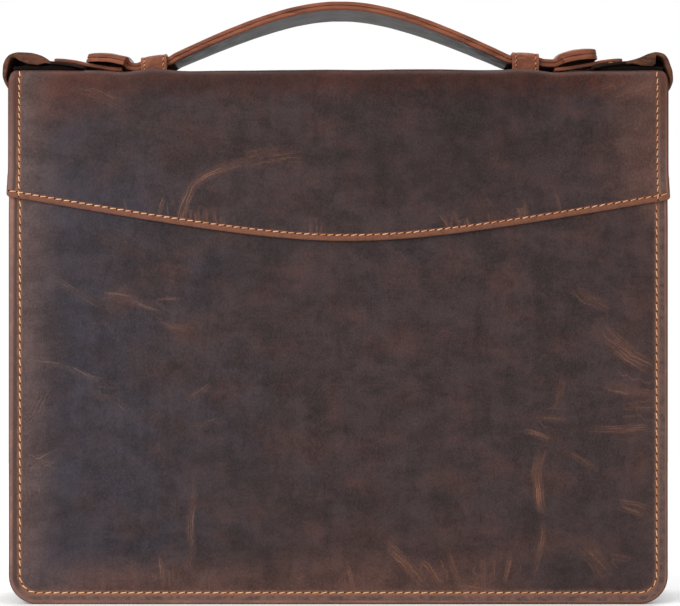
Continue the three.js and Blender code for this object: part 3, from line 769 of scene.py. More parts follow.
def coverPath(x):
    top = spineAt(x)
    edge = hemAt(x)
    half = panels["wall"] / 2
    bend = panels["spineBend"]
    mid = panels["halfDepth"] - half
    centre = panels["halfDepth"] - bend
    path = []

    def row(y, z, normalY, normalZ, foot=far, hemUp=far, outHalf=half, inHalf=half):
        values = (y, z, normalY, normalZ, foot, hemUp, outHalf, inHalf)
        path.append([np.broadcast_to(value, x.shape) for value in values])

    def bendOver(y, start):  # round one edge of the spine
        for turn in np.linspace(start, start + math.pi / 2, panels["bendRows"])[1:]:
            outward, upward = math.cos(turn), math.sin(turn)
            row(y + (bend - half) * outward, top - bend + (bend - half) * upward, outward, upward)

    for inset in rimInsets:
        row(mid, inset, 1, 0, foot=inset)
    for share in np.linspace(0, 1, panels["backRows"])[1:]:
        z = rimInsets[-1] + (top - bend - rimInsets[-1]) * share
        row(mid, z, 1, 0, foot=z)
    bendOver(centre, 0)
    for y in np.linspace(centre, -centre, panels["spineRows"])[1:]:
        row(y, top - half, 0, 1)
    bendOver(-centre, math.pi / 2)
    last = edge + rimInsets[-1]
    levels = [last + (top - bend - last) * share for share in np.linspace(1, 0, panels["upperRows"])[1:]]
    for z in levels + [edge + inset for inset in rimInsets[::-1][1:]]:
        hemUp = z - edge
        proud = hem["proud"] * (1 - smoothRise(hemUp, 0, hem["fade"]))
        thin = 1 - smoothRise(hemUp, hem["lap"] + hem["gap"], hem["lap"] + hem["gap"] + hem["shoulder"])
        inHalf = half - thin * (2 * half + hem["proud"] - hem["lip"])
        row(-mid, z, -1, 0, hemUp=hemUp, outHalf=half + proud, inHalf=inHalf)
    return path


def frontPath(x):
    edge = hemAt(x)
    half = panels["wall"] / 2
    mid = panels["halfDepth"] - half
    start = hem["lap"]
    path = []
    downs = np.array([0, 0.2, 0.6, 3, 7, 9.4, 10.2, 11, 12, 13.5, 15.5, 18, 22])  # from the tucked edge
    last = rimInsets[-1]
    rows = [edge + start - down for down in downs]
    shares = np.linspace(1, 0, panels["lowerRows"])[1:]
    rows += [last + (edge + start - downs[-1] - last) * share for share in shares]
    rows += [np.full_like(x, inset) for inset in rimInsets[::-1][1:]]
    for z in rows:
        below = edge - z
        sunk = (hem["lip"] - hem["proud"] + hem["gap"]) * (1 - smoothRise(below, 0.5, hem["dip"]))
        ends = roll(edge + start - z, hem["tuckRound"])
        values = (-mid, z, -1, 0, z, far, (half - sunk) * ends, half * ends)
        path.append([np.broadcast_to(value, x.shape) for value in values])
    return path


upperX = columnsAcross(panels["upperHalf"])
lowerX = columnsAcross(panels["lowerHalf"])
coverSurface = buildPanel("coverLeather", "cover_wrap", panels["upperHalf"], upperX, coverPath(upperX), 11)
frontSurface = buildPanel("frontLeather", "front_lower", panels["lowerHalf"], lowerX, frontPath(lowerX), 12)
print("panels built")


# Straps: rounded sections along a line in the front view, with a finish for each side of the section

def arcRound(y, z, radius, start, steps):  # quarter circle round a point, from start in half turns
    turns = np.linspace(start, start + 0.5, steps + 1) * math.pi
    return [(y + radius * math.cos(turn), z + radius * math.sin(turn)) for turn in turns]


def strapSection(half, low, high, cup, rounding, across=11, arc=4):
    # points round the section, and the side of each stretch: 0 below, 1 edge, 2 above, 3 upper arris
    radius = min(rounding, (high - low) / 2 - 1e-3)
    points, sides = [], []

    def flat(level, start, end, side):
        for share in np.linspace(start, end, across):
            points.append((share * (half - radius), level))
            sides.append(side)
        sides[-1] = 1

    def arris(y, level, start, side):
        points.extend(arcRound(y, level, radius, start, arc))
        sides.extend([side] * (arc + 1))

    flat(low, -1, 1, 0)
    arris(half - radius, low + radius, -0.5, 1)
    arris(half - radius, high - radius, 0.0, 3)
    flat(high, 1, -1, 2)
    arris(radius - half, high - radius, 0.5, 3)
    sides[-1] = 1
    arris(radius - half, low + radius, 1.0, 1)
    points = np.array(points)
    points[:, 1] += cup * (1 - (points[:, 0] / half) ** 2)
    keep = np.linalg.norm(points - np.roll(points, 1, axis=0), axis=1) > 1e-6
    return points[keep], [side for side, kept in zip(sides, keep) if kept]


def strapMesh(x, z, sections):  # sections: for each station the (across, lift) points
    along = np.stack([np.gradient(x), np.gradient(z)], -1)
    along /= np.linalg.norm(along, axis=1)[:, None]
    sections = np.asarray(sections)
    across, lift = sections[..., 0], sections[..., 1]
    points = np.stack([x[:, None] - along[:, 1:] * lift, across, z[:, None] + along[:, :1] * lift], -1)
    return points.reshape(-1, 3), tubeFaces(0, *across.shape, 1)


def strapKinds(x, sides, lookup):  # lookup(x, side) gives the place of a face's finish in the piece's list
    middles = (x[:-1] + x[1:]) / 2
    kinds = [lookup(middle, side) for middle in middles for side in sides]
    return kinds + [lookup(x[0], 1), lookup(x[-1], 1)]


def roundedEnds(x, reach):  # how full the section is near either end of the strap
    inset = np.minimum(x - x[0], x[-1] - x)
    return 0.35 + 0.65 * roll(inset, reach)


handle = {
    "crown": 320.25, "middle": 0.9, "rise": 26.5, "run": 51.0, "archStart": -88.0, "archEnd": 89.5,
    "half": 13.0, "ply": 2.0, "gap": 0.3, "lean": 5.5, "leanRun": 92.0, "rounding": 0.55,
    "gripFrom": -90.0, "gripTo": 92.0, "tip": 1.6, "archSteps": 40, "step": 0.6,
    "waver": 0.07, "waveLengths": (37, 19, 11),  # of the cut edges
    "press": 0.32,  # share of the gap that each ply takes up where they are pressed together
}

# ends of the handle: x, top face at the edges, half width, ply, cup
handleLeft = [
    (-135.2, 293.6, 5, 2.1, 0.3), (-134.6, 293.4, 9.5, 2.1, 0.8), (-133.4, 293.2, 13, 2.1, 1.3),
    (-131, 293, 15.8, 2.1, 1.8), (-127.5, 292.9, 17, 2.1, 2), (-123, 292.7, 17, 2.1, 2),
    (-116.5, 291.7, 17, 2.2, 1.6), (-113, 291.1, 16.8, 2.3, 1.3), (-112.4, 290.7, 15.4, 2.2, 1),
    (-112, 289.9, 13.4, 2.1, 0.5), (-111.4, 288.8, 13, 2, 0.2), (-108.5, 288.4, 13, 2, 0),
    (-105.7, 289.2, 13, 2, 0), (-98.7, 290.2, 13, 2, 0), (-91.8, 291.4, 13, 2, 0),
]
handleRight = [
    (93.1, 292.3, 13, 2, 0), (100.2, 291.9, 13, 2, 0), (107.4, 291.4, 13, 2, 0), (110.5, 290.6, 13, 2, 0),
    (114.5, 290.4, 13, 2, 0), (116.4, 290.6, 13, 2, 0.2), (117.4, 291.5, 15, 2.4, 0.8),
    (118.8, 292.5, 16.6, 2.6, 1.4), (121.5, 293.4, 17, 2.6, 1.7), (127, 294.6, 17, 2.6, 2),
    (131.5, 295.1, 17, 2.6, 2), (135, 295.4, 15.8, 2.6, 1.8), (137.4, 295.7, 13, 2.6, 1.3),
    (138.6, 295.9, 9.5, 2.6, 0.8), (139.2, 296, 5, 2.6, 0.3),
]


def handleStations():
    archX = np.linspace(handle["archStart"], handle["archEnd"], handle["archSteps"])
    archTop = handle["crown"] - flatBow(archX - handle["middle"], handle["rise"], handle["run"])
    arch = [(x, top, handle["half"], handle["ply"], 0) for x, top in zip(archX, archTop)]
    table = np.array(handleLeft + arch + handleRight)
    tips = np.array([0, 0.15, 0.4, 0.8])
    middle = np.arange(table[0, 0] + 1.2, table[-1, 0] - 1, handle["step"])
    x = np.concatenate([table[0, 0] + tips, middle, table[-1, 0] - tips[::-1]])
    return x, [easeThrough(x, table[:, 0], table[:, column]) for column in range(1, 5)]


def handlePly(name, node, order, looks):
    def lookup(x, side):  # the underside is smooth and grey along the grip, brown under the paddles
        if order == 1 and side == 0 and not handle["gripFrom"] < x < handle["gripTo"]:
            return 3
        return 1 if side == 3 else side

    x, (top, half, ply, cup) = handleStations()
    fullness = roundedEnds(x, handle["tip"])
    draw = np.random.default_rng(21 + order)
    waves = 0
    for length in handle["waveLengths"]:
        waves = waves + handle["waver"] * np.sin(x * 2 * math.pi / length + draw.uniform(0, 6.3))
    sections = []
    for k in range(len(x)):
        high = -order * (ply[k] + handle["gap"])
        low = high - ply[k]
        shrink = ply[k] * (1 - fullness[k]) / 2
        seam = handle["gap"] * handle["press"]
        if order == 0:
            high, low = high - shrink, low - seam + shrink
        else:
            high, low = high + seam - shrink, low + shrink
        section, sides = strapSection(half[k] + waves[k], low, high, cup[k], handle["rounding"])
        level = max(0, 1 - ((x[k] - handle["middle"]) / handle["leanRun"]) ** 2)
        lean = math.radians(handle["lean"]) * level
        pivot = -ply[k] - handle["gap"] / 2
        across, lift = section[:, 0].copy(), section[:, 1] - pivot
        section[:, 0] = across * math.cos(lean) + lift * math.sin(lean)
        section[:, 1] = pivot + lift * math.cos(lean) - across * math.sin(lean)
        sections.append(section)
    points, faces = strapMesh(x, top, sections)
    addPiece(name, node, points, faces, looks, strapKinds(x, sides, lookup))


handlePly("handleTopPly", "handle_top_ply", 0, ("edge", "edge", "face"))
handlePly("handleLowerPly", "handle_lower_ply", 1, ("under", "edge", "edge", "lining"))


# Ears of the zip band, tabs and folded tape ends

ears = {
    "half": 20.7, "edge": 1.4, "ease": 0.4, "rounding": 0.6, "step": 0.7,
    "underTab": 153.0,  # from here inwards the strap lies in the dark under its tab and takes the painted-shade finish
    # x and z of the outer face, crown, wall, sag of the two edges
    "left": [
        (-169.5, 262.3, 0, 1.6, 0), (-172, 267.5, 0, 1.6, 0), (-175.3, 273, 0.4, 1.6, 0),
        (-177.7, 277.3, 0.8, 1.8, 0), (-178.6, 281, 0.8, 2.2, 0), (-178.4, 285.4, 0.6, 2.6, 0),
        (-177.2, 289, 0.5, 2.4, 0), (-174.6, 291.8, 0.6, 1.9, 0), (-170.2, 293, 0.8, 1.6, 2.6),
        (-163.8, 292.7, 0.8, 1.6, 4.4), (-158, 291.2, 0.4, 1.6, 3.8), (-155, 289.6, 0, 1.6, 1.5),
        (-153, 288.3, 0, 1.6, 0), (-150, 288.1, 0, 1.6, 0), (-142, 287, 0, 1.6, 0),
        (-138, 286.2, 0, 1.6, 0), (-135, 285.5, 0, 1.6, 0),
    ],
    "right": [
        (135, 285.5, 0, 1.6, 0), (138, 286.2, 0, 1.6, 0), (142, 287, 0, 1.6, 0), (150, 288.1, 0, 1.6, 0),
        (153.2, 288.3, 0, 1.6, 0), (156.2, 288.9, 0, 1.6, 0.6), (160.4, 290.2, 0.3, 1.6, 3),
        (164.5, 292, 0.6, 1.6, 5.2), (167.5, 292.9, 0.8, 1.6, 4.6), (169, 293.1, 0.8, 1.6, 0.2),
        (173, 292.2, 0.6, 2, 0), (175.2, 289.9, 0.5, 2.4, 0), (176.6, 286.4, 0.6, 2.6, 0),
        (177.8, 282.5, 0.8, 2.4, 0), (178.1, 278.5, 0.8, 1.9, 0), (177, 274.5, 0.4, 1.6, 0),
        (174, 270, 0, 1.6, 0), (171, 266, 0, 1.6, 0), (169.5, 262.3, 0, 1.6, 0),
    ],
}


def runThrough(rows, step):  # table rows turned into dense stations along their own length
    rows = np.array(rows, float)
    length = np.concatenate([[0], np.cumsum(np.hypot(np.diff(rows[:, 0]), np.diff(rows[:, 1])))])
    at = np.linspace(0, length[-1], round(length[-1] / step) + 1)
    return [easeThrough(at, length, rows[:, column]) for column in range(rows.shape[1])]


def earSection(wall, crown, sag):  # crowned strip whose edges turn down, built for one half and mirrored
    half, soft = ears["half"], ears["rounding"]
    inner, foot = half - ears["edge"], -wall - sag
    points, sides = [], []

    def add(y, z, side):
        points.append((y, z))
        sides.append(side)

    for y in np.linspace(0, inner - ears["ease"], 8):
        add(y, crown * (1 - (y / half) ** 2) - wall, 0)
    add(inner, foot, 0)
    for turn in np.linspace(-0.5, 0, 5) * math.pi:
        add(half + soft * (math.cos(turn) - 1), foot + soft * (math.sin(turn) + 1), 1)
    for share in (0.33, 0.67):
        add(half, (foot + soft) * (1 - share) - soft * share, 1)
    for turn in np.linspace(0, 0.5, 5) * math.pi:
        add(half + soft * (math.cos(turn) - 1), soft * (math.sin(turn) - 1), 1 if turn < 0.7 else 3)
    for y in np.linspace(half - soft, 0, 9)[1:]:
        add(y, crown * (1 - (y / half) ** 2), 2)
    mirrored = [(-y, z) for y, z in points[-2:0:-1]]
    return np.array(points + mirrored), sides[:-1] + sides[-2::-1]


def earPiece(name, node, rows):
    x, z, crown, wall, sag = runThrough(rows, ears["step"])
    sections = []
    for k in range(len(x)):
        section, sides = earSection(wall[k], crown[k], sag[k])
        sections.append(section)
    points, faces = strapMesh(x, z, sections)
    kinds = strapKinds(x, sides, lambda x, side: 3 if abs(x) < ears["underTab"] else side)
    addPiece(name, node, points, faces, ("lining", "hood", "hood", "dark"), kinds)


tabs = {
    "thickness": 2.0,
    "rounding": 0.5,
    "step": 0.6,
    "stitches": [(144.5, 288.5), (151.6, 289)],  # on the right tab
    # distance from the middle, top, half width
    "rows": [
        (152.5, 290.8, 11.5), (150.8, 290.8, 13), (142, 290, 13), (137, 289, 13), (134, 288.3, 13),
        (131, 287.8, 13), (126, 287, 13), (120, 286.1, 13), (116, 285.9, 12),
    ],
}


def sideRows(rows, side):
    placed = [(side * row[0],) + tuple(row[1:]) for row in rows]
    return placed if side < 0 else placed[::-1]


def tabPiece(name, node, side):
    x, z, half = runThrough(sideRows(tabs["rows"], side), tabs["step"])
    sections = []
    for k in range(len(x)):
        section, sides = strapSection(half[k], -tabs["thickness"], 0, 0, tabs["rounding"])
        sections.append(section)
    points, faces = strapMesh(x, z, sections)
    kinds = strapKinds(x, sides, lambda x, side: 1 if side == 2 else 0)
    addPiece(name, node, points, faces, ("edge", "face"), kinds)
    return BVHTree.FromPolygons(points.tolist(), faces)


# folded ends of the dark zip tape; they also fill the hollow under the ears and tabs, where their black
# stands partly for painted shade
tapes = {
    "half": 18.5,
    "seat": 283.8,
    "rounding": 0.4,
    "step": 0.7,
    # distance from the middle, top at the front edge and at the back
    "rows": [
        (173, 285.4, 286), (168, 285.8, 289.6), (163, 285.9, 288.8), (159.5, 285.9, 287.4),
        (156, 286, 286.5), (152, 286.3, 286.3), (149, 286.2, 286.2), (142, 285, 285), (140, 284.6, 284.6),
    ],
}


def tapePiece(name, node, side):
    x, front, back = runThrough(sideRows(tapes["rows"], side), tapes["step"])
    sections = []
    for k in range(len(x)):
        section, _ = strapSection(tapes["half"], 0, front[k] - tapes["seat"], 0, tapes["rounding"])
        climb = (back[k] - front[k]) * (section[:, 0] / tapes["half"] + 1) / 2
        section[:, 1] += climb * section[:, 1] / (front[k] - tapes["seat"])
        sections.append(section)
    points, faces = strapMesh(x, np.full_like(x, tapes["seat"]), sections)
    addPiece(name, node, points, faces, ["tape"])


tabSurfaces = {}
for label, side in (("Left", -1), ("Right", 1)):
    end = label.lower()
    earPiece("ear" + label, "ear_" + end, ears[end])
    tabSurfaces[end] = tabPiece("tab" + label, "end_tab_" + end, side)
    tapePiece("tapeEnd" + label, "tape_end_" + end, side)


# Loops that hold the handle: rounded bands round the strap and the spine

loops = {
    "wall": 1.4, "half": 15.4, "bottom": 279.1, "bend": 2.4, "rounding": 0.45,
    "pinch": 0.16, "pinchWidth": 0.7, "swell": 0.12,  # drawn in at the stitches, proud between them
    "stitchInset": 1.9, "stitchDown": 1.6, "stitchEnd": 283.2,
    # name, node, from, to, top at either end
    "rows": [
        ("loopLeft", "loop_left", -105.7, -91.8, 291.1, 293.2),
        ("loopRight", "loop_right", 93.1, 107.4, 294.1, 293.3),
    ],
}


def bandOutline(half, low, high, radius, steps=6, sides=8):  # rounded rectangle, from a lower corner
    corners = [(half - radius, low + radius, -0.5), (half - radius, high - radius, 0.0)]
    corners += [(radius - half, high - radius, 0.5), (radius - half, low + radius, 1.0)]
    points = [point for y, z, start in corners for point in arcRound(y, z, radius, start, steps)]
    closed = points + points[:1]
    dense = []
    for a, b in zip(closed[:-1], closed[1:]):
        cuts = sides if math.dist(a, b) > 4 else 1
        dense += [tuple(np.array(a) + (np.array(b) - np.array(a)) * k / cuts) for k in range(cuts)]
    return np.array(dense)


def loopPiece(name, node, start, end, topStart, topEnd):
    insets = np.array([0, 0.08, 0.22, 0.45, 0.8, 1.4, 1.9, 2.5, 3.5, 5.0])
    x = np.concatenate([start + insets, [(start + end) / 2], end - insets[::-1]])
    wall = loops["wall"]
    rings = []
    for place in x:
        inset = min(place - start, end - place)
        full = 0.45 + 0.55 * float(roll(np.array(inset), loops["rounding"]))
        pinch = loops["pinch"] * float(hump(inset, loops["stitchInset"], loops["pinchWidth"]))
        pinch = pinch - loops["swell"] * float(smoothRise(np.array(inset), 2.5, 5.0))
        top = topStart + (topEnd - topStart) * (place - start) / (end - start)
        outside = wall * (1 - full) / 2 + pinch
        insideCut = wall * (1 + full) / 2
        for cut in (outside, insideCut):
            half, bend = loops["half"] - cut, loops["bend"] - cut
            outline = bandOutline(half, loops["bottom"] + cut, top - cut, bend)
            rings.append(np.column_stack([np.full(len(outline), place), outline]))
    points = np.concatenate(rings)
    grid = np.arange(len(points)).reshape(len(x), 2, -1)  # station, outside or inside, point
    faces = np.concatenate([
        bridge(grid[:-1, 0], grid[1:, 0]), bridge(grid[1:, 1], grid[:-1, 1]),
        bridge(grid[0, 1], grid[0, 0]), bridge(grid[-1, 0], grid[-1, 1]),
    ])
    addPiece(name, node, points, faces, ["loop"])
    return BVHTree.FromPolygons(points.tolist(), faces.tolist())


loopSurfaces = {row[0]: loopPiece(*row) for row in loops["rows"]}
print("straps, ears, tabs and loops built")


# Zip band down the sides and along the bottom, with its teeth and slider

zipBand = {
    "halfSpan": 169.5, "bottom": 5.5, "top": 262.0, "corner": 10.0, "tape": 1.5, "half": 20.7,
    "rounding": 0.3, "step": 2.0,
    "cord": 0.5, "cordAt": 4.2, "cordWidth": 0.8,  # woven cord beside the teeth
}

# one tooth: a low block with a nose that crosses the middle, mirrored from side to side
tooth = {
    "profile": [(-0.5, 0.0), (0.5, 0.0), (0.5, 0.75), (0.3, 1.0), (-0.3, 1.0), (-0.5, 0.75)],
    "rings": [(-0.9, 0.8), (-0.4, 1.0), (2.2, 1.0), (2.6, 0.7)],  # place across, size
    "pitch": 2.4, "long": 1.25, "rise": 2.0, "seat": 0.05,
}


def zipRoute(step):  # stations from the left top round the foot to the right top, and their outward turns
    centre = zipBand["halfSpan"] - zipBand["corner"]
    lower = zipBand["bottom"] + zipBand["corner"]
    sideRun = zipBand["top"] - lower
    cornerRun = zipBand["corner"] * math.pi / 2
    marks = np.cumsum([0, sideRun, cornerRun, 2 * centre, cornerRun, sideRun])
    at = np.linspace(0, marks[-1], round(marks[-1] / step) + 1)
    turn = np.clip((at - marks[1]) / cornerRun, 0, 1) + np.clip((at - marks[3]) / cornerRun, 0, 1)
    turn = math.pi + turn * math.pi / 2
    x = np.where(at < marks[2], -centre, np.where(at > marks[3], centre, at - marks[2] - centre))
    x = x + zipBand["corner"] * np.cos(turn)
    z = lower + zipBand["corner"] * np.sin(turn)
    z = z + np.clip(marks[1] - at, 0, None) + np.clip(at - marks[4], 0, None)
    return x, z, turn


def zipTapePiece():
    x, z, _ = zipRoute(zipBand["step"])
    section, _ = strapSection(zipBand["half"], 0, zipBand["tape"], 0, zipBand["rounding"], 21)
    cord = zipBand["cord"] * hump(np.abs(section[:, 0]), zipBand["cordAt"], zipBand["cordWidth"])
    section[:, 1] -= np.where(section[:, 1] < 0.2, cord, 0)
    points, faces = strapMesh(x, z, [section] * len(x))
    addPiece("zipTape", "zip_band", points, faces, ["tape"])


def zipTeethPiece():
    points, faces = [], []
    for k, (x, z, angle) in enumerate(zip(*zipRoute(tooth["pitch"]))):
        hand = 1 if k % 2 else -1
        outward = np.array([math.cos(angle), 0, math.sin(angle)])
        along = np.array([-math.sin(angle), 0, math.cos(angle)])
        faces += tubeFaces(len(points), len(tooth["rings"]), len(tooth["profile"]), hand)
        for place, size in tooth["rings"]:
            for share, rise in tooth["profile"]:
                point = np.array([x, 0, z]) + outward * (tooth["rise"] * rise * size + tooth["seat"])
                point = point + along * (share * tooth["long"] * size)
                points.append(point + np.array([0, hand * place, 0]))
    addPiece("zipTeeth", None, points, faces, ["teeth"])


zipTapePiece()
zipTeethPiece()

slider = {
    "top": 252.0, "from": 171.9, "plate": 2.0, "bevel": 0.4, "eye": 1.4, "pullHalf": 3.6, "tip": 38.4,
    "tipSteps": 17,
    # half width at each distance down from the top, to where the round tip of the pull begins
    "outline": [
        (0.0, 3.6), (0.4, 4.2), (1.4, 5.0), (11.4, 5.0), (12.0, 4.4), (12.2, 2.0), (12.8, 1.7), (15.4, 1.7),
        (16.2, 2.4), (17.4, 3.6), (27.0, 3.4), (33.0, 3.5), (38.4, 3.6),
    ],
}


def sliderPiece():  # a flat filled outline with a hole, bevelled and turned to face right
    def roundTip(radius, turns):
        return [(slider["tip"] + radius * math.sin(turn), radius * math.cos(turn)) for turn in turns]

    turns = np.linspace(0, math.pi, slider["tipSteps"])
    rim = slider["outline"] + roundTip(slider["pullHalf"], turns[1:-1])
    rim += [(down, -half) for down, half in slider["outline"][::-1]]
    eye = roundTip(slider["eye"], 2 * turns[:-1])
    shape = bpy.data.curves.new("sliderOutline", "CURVE")
    shape.dimensions = "2D"
    shape.fill_mode = "BOTH"
    shape.extrude = slider["plate"] / 2 - slider["bevel"]
    shape.bevel_depth = slider["bevel"]
    shape.bevel_resolution = 2
    shape.offset = -slider["bevel"]
    for loop in (rim, eye):
        spline = shape.splines.new("POLY")
        spline.points.add(len(loop) - 1)
        for point, (down, across) in zip(spline.points, loop):
            point.co = (across, -down, 0, 1)
        spline.use_cyclic_u = True
    plate = bpy.data.meshes.new_from_object(bpy.data.objects.new("sliderOutline", shape))
    middle = slider["from"] + slider["plate"] / 2
    points = [(middle + vertex.co.z, vertex.co.x, slider["top"] + vertex.co.y) for vertex in plate.vertices]
    faces = [list(polygon.vertices) for polygon in plate.polygons]
    addPiece("zipSlider", "zip_slider", points, faces, ["brass"])


sliderPiece()
print("zip built")


# Stitching: short slanted threads laid on the leather, with a dark disc of painted shade for the needle
# hole before each

stitches = {
    "slant": 0.3, "hole": 0.54, "sides": 8, "rings": 9,
    "lift": 0.16, "crown": 0.34, "sunk": 0.3,  # middle line over the leather, its rise and its sunk ends
    "twist": 0.1, "twistTurn": 9.0, "ends": 0.62,  # ridges of the twisted thread, thickness at its ends
    "stray": 0.08, "slantStray": 0.15, "thickStray": 0.04, "shadeStray": 0.14,  # from stitch to stitch
    "holeLift": 0.05, "holeCrown": 0.12,
    "spineGap": 0.4, "hemGap": 0.8, "tuckGap": 0.6,  # where the runs stop short of spine, hem and tuck
    "sideSteps": 60, "cornerSteps": 12, "hemSteps": 160,
    "lookFrom": 80.0,  # distance from which the leather is looked for
    "fade": 900.0,  # the thread is paler towards the left, by one shade over this many mm
    # pitch, length, thickness, shade from orange to pale
    "upper": (3.83, 3.0, 0.28, 0.62),
    "lower": (4.43, 3.35, 0.29, 0.68),
    "hem": (4.13, 3.2, 0.29, 0.44),
    "loop": (2.6, 2.0, 0.24, 0.22),
    "tab": (3.5, 2.6, 0.26, 0.4),
}


shares = np.linspace(0, 1, stitches["rings"])
arch = np.sin(shares * math.pi)
ringTurns = np.linspace(0, 2 * math.pi, stitches["sides"], endpoint=False)


def surfaceAt(surface, x, z, look):  # the leather at a point of the front view, from the front or the back
    start = Vector((x, look * stitches["lookFrom"], z))
    place, normal, _, _ = surface.ray_cast(start, Vector((0, -look, 0)))
    return None if place is None else (np.array(place), np.array(normal))


def threadLine(places):  # a stitch's middle line over the leather, its normal and its direction
    leather = np.array([place for place, _ in places])
    normal = np.mean([facing for _, facing in places], axis=0)
    normal /= np.linalg.norm(normal)
    line = leather[0] + (leather[-1] - leather[0]) * shares[:, None]
    line = line + normal * np.maximum((leather - line) @ normal, 0)[:, None]
    line = line + normal * (stitches["lift"] + stitches["crown"] * arch ** 0.6 - stitches["sunk"])[:, None]
    along = (line[-1] - line[0]) / np.linalg.norm(line[-1] - line[0])
    return line, normal, along


def threadPoints(line, normal, along, thick):  # rings of a twisted thread
    across = np.cross(along, normal)
    points = []
    for place, size, share in zip(line, thick, shares):
        for turn in ringTurns:
            twist = 1 + stitches["twist"] * math.cos(2 * turn - stitches["twistTurn"] * share)
            outward = math.cos(turn) * normal * 0.9 + math.sin(turn) * across
            points.append(place + size * twist * outward)
    return points


def holePoints(centre, normal, along):  # a dark disc of painted shade for the needle hole, its rim and then its middle
    across = np.cross(along, normal)
    points = []
    for turn in ringTurns:
        rim = stitches["hole"] * (math.cos(turn) * along + math.sin(turn) * across)
        points.append(centre + rim + normal * stitches["holeLift"])
    return points + [centre + normal * stitches["holeCrown"]]


def sewRun(name, kind, route, surface, look, slant, seed):
    pitch, length, thread, shade = stitches[kind]
    sides, rings = stitches["sides"], stitches["rings"]
    route = np.array(route, float)
    run = np.concatenate([[0], np.cumsum(np.hypot(*np.diff(route, axis=0).T))])
    count = max(round(run[-1] / pitch), 1)
    pitch = run[-1] / count
    draw = np.random.default_rng(seed)
    threads, threadFaces, shades = [], [], []
    holes, holeFaces = [], []

    def routeAt(at):
        return np.array([np.interp(at, run, route[:, 0]), np.interp(at, run, route[:, 1])])

    for k in range(count):
        begin = k * pitch + (pitch - length) / 2 + draw.normal(0, stitches["stray"])
        start, end = routeAt(begin), routeAt(begin + length)
        forward = (end - start) / np.linalg.norm(end - start)
        sideways = np.array([-forward[1], forward[0]])
        lean = slant * stitches["slant"] * (1 + draw.normal(0, stitches["slantStray"]))
        start = start + sideways * lean
        end = end - sideways * lean
        places = [surfaceAt(surface, *(start + (end - start) * share), look) for share in shares]
        if any(place is None for place in places):
            continue
        line, normal, along = threadLine(places)
        thick = stitches["ends"] + (1 - stitches["ends"]) * arch ** 0.5
        thick = thread * thick * (1 + draw.normal(0, stitches["thickStray"]))
        threadFaces += tubeFaces(len(threads), rings, sides, -1)
        threads += threadPoints(line, normal, along, thick)
        paler = draw.normal(shade, stitches["shadeStray"]) - start[0] / stitches["fade"]
        shades += [float(np.clip(paler, 0.05, 1))] * (sides * rings)
        place = surfaceAt(surface, *routeAt(k * pitch), look)
        if place is None:
            continue
        base = len(holes)
        holes += holePoints(*place, along)
        holeFaces += [[base + (j + 1) % sides, base + j, base + sides] for j in range(sides)]
    addPiece(name, None, threads, threadFaces, ["thread"], None, {"shade": shades})
    addPiece(name + "Holes", None, holes, holeFaces, ["hole"])


def panelRoute(half, leftTop, rightTop):  # down one side, round both lower corners and up the other side
    inset = panels["stitchInset"]
    low = panels["bottomCorner"]
    radius, centre = low - inset, half - low
    steps = stitches["sideSteps"]
    turns = np.linspace(0, math.pi / 2, stitches["cornerSteps"])[1:]
    route = [(-half + inset, z) for z in np.linspace(leftTop, low, steps)]
    route += [(-centre - radius * math.cos(turn), low - radius * math.sin(turn)) for turn in turns]
    route += [(x, inset) for x in np.linspace(-centre, centre, steps)[1:]]
    route += [(centre + radius * math.sin(turn), low - radius * math.cos(turn)) for turn in turns]
    route += [(half - inset, z) for z in np.linspace(low, rightTop, steps)[1:]]
    return route


def hemRoute():
    reach = panels["upperHalf"] - stitches["hemGap"]
    x = np.linspace(-reach, reach, stitches["hemSteps"])
    return np.column_stack([x, hemAt(x) + hem["stitchUp"]])


def sewFolder():
    seam = panels["upperHalf"] - panels["stitchInset"]
    top = panels["height"] - stitches["spineGap"]
    edges = [float(hemAt(side * seam)) for side in (-1, 1)]
    for label, side, edge, seed in (("Left", -1, edges[0], 31), ("Right", 1, edges[1], 34)):
        route = [(side * seam, edge + stitches["hemGap"]), (side * seam, top)]
        sewRun("upperStitches" + label, "upper", route, coverSurface, -1, side, seed)
    lower = panelRoute(panels["lowerHalf"], *(edge - stitches["tuckGap"] for edge in edges))
    sewRun("lowerStitches", "lower", lower, frontSurface, -1, -1, 35)
    sewRun("backStitches", "lower", panelRoute(panels["upperHalf"], top, top), coverSurface, 1, 1, 32)
    sewRun("hemStitches", "hem", hemRoute(), coverSurface, -1, -1, 33)
    for name, _, start, end, topStart, topEnd in loops["rows"]:
        for label, x in (("Outer", start + loops["stitchInset"]), ("Inner", end - loops["stitchInset"])):
            top = topStart + (topEnd - topStart) * (x - start) / (end - start)
            route = [(x, top - loops["stitchDown"]), (x, loops["stitchEnd"])]
            for face, look in (("Front", -1), ("Back", 1)):
                sewRun(name + label + face, "loop", route, loopSurfaces[name], look, 1, 40)
    sewRun("tabStitches", "tab", tabs["stitches"], tabSurfaces["right"], -1, 0, 41)


sewFolder()
print("stitches sewn")


# Camera, light and floor

camera = {"place": (0.0009, -0.904, 0.1596), "lens": 87.98, "sensor": 36.0}  # place in metres
floorSheet = {"reach": 0.75, "level": -0.0001, "dark": 0.86, "pale": 0.9}  # metres, grey tones

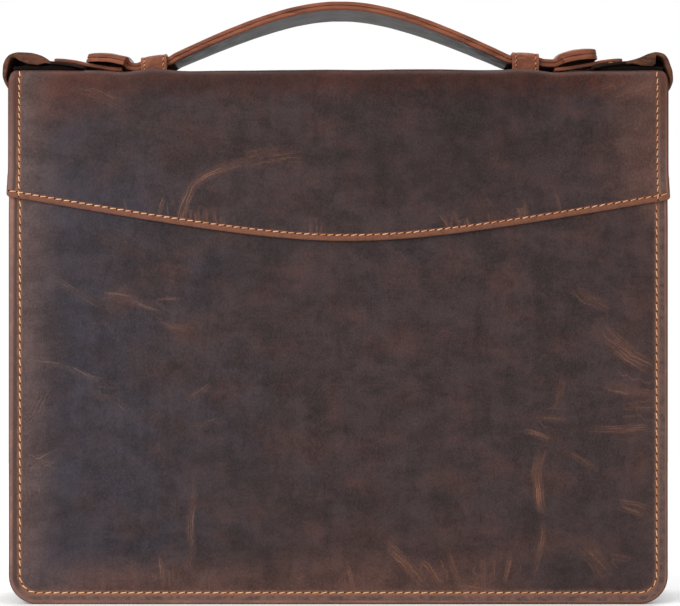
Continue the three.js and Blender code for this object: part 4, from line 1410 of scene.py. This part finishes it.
# area lights: name, place in metres, side in metres, watts
lights = [
    ("keyLight", (-0.95, -1.05, 0.85), 1.0, 18.0),
    ("fillLight", (1.0, -1.1, 0.6), 1.1, 3.0),
    ("topLight", (0.0, 0.1, 1.35), 1.2, 12.0),
    ("backLight", (0.3, 1.2, 0.8), 1.2, 8.0),
]


lightAim = Vector((0, 0, 0.15))


def addBackdrop(scene):
    scene.view_settings.view_transform = "Standard"
    world = bpy.data.worlds.new("paleStudio")
    scene.world = world
    world.use_nodes = True
    tree = world.node_tree
    backdrop = tree.nodes["Background"]
    backdrop.inputs["Color"].default_value = (1, 1, 1, 1)
    seen = addNode(tree, "LightPath").outputs["Is Camera Ray"]
    feed(backdrop, "Strength", spread(seen, 0.0, 1.0, 0.5, 1.0))


def addLights(scene):
    for name, place, size, watts in lights:
        light = bpy.data.lights.new(name, "AREA")
        light.size = size
        light.energy = watts
        lamp = bpy.data.objects.new(name, light)
        lamp.location = place
        lamp.rotation_euler = (lightAim - Vector(place)).to_track_quat("-Z", "Y").to_euler()
        scene.collection.objects.link(lamp)


def addFloor(scene):
    sheet = bpy.data.meshes.new("floor")
    reach, level = floorSheet["reach"], floorSheet["level"]
    corners = [(x * reach, y * reach, level) for x, y in ((-1, -1), (1, -1), (1, 1), (-1, 1))]
    sheet.from_pydata(corners, [], [(0, 1, 2, 3)])
    finish, tree, shader = startFinish("paleFloor", 0.7, 0.2)
    dust = cloud(millimetres(tree), 220.0, 3.0)
    dark, pale = ((floorSheet[key],) * 3 + (1,) for key in ("dark", "pale"))
    feed(shader, "Base Color", mixColours(dust, dark, pale))
    sheet.materials.append(finish)
    floor = bpy.data.objects.new("floor", sheet)
    scene.collection.objects.link(floor)


def addCamera(scene):
    lens = bpy.data.cameras.new("frontCamera")
    lens.lens = camera["lens"]
    lens.sensor_width = camera["sensor"]
    eye = bpy.data.objects.new("frontCamera", lens)
    eye.location = camera["place"]
    eye.rotation_euler = (math.pi / 2, 0, 0)
    scene.collection.objects.link(eye)
    scene.camera = eye


for addPart in (addBackdrop, addLights, addFloor, addCamera):
    addPart(bpy.context.scene)
print("camera, lights and floor set")
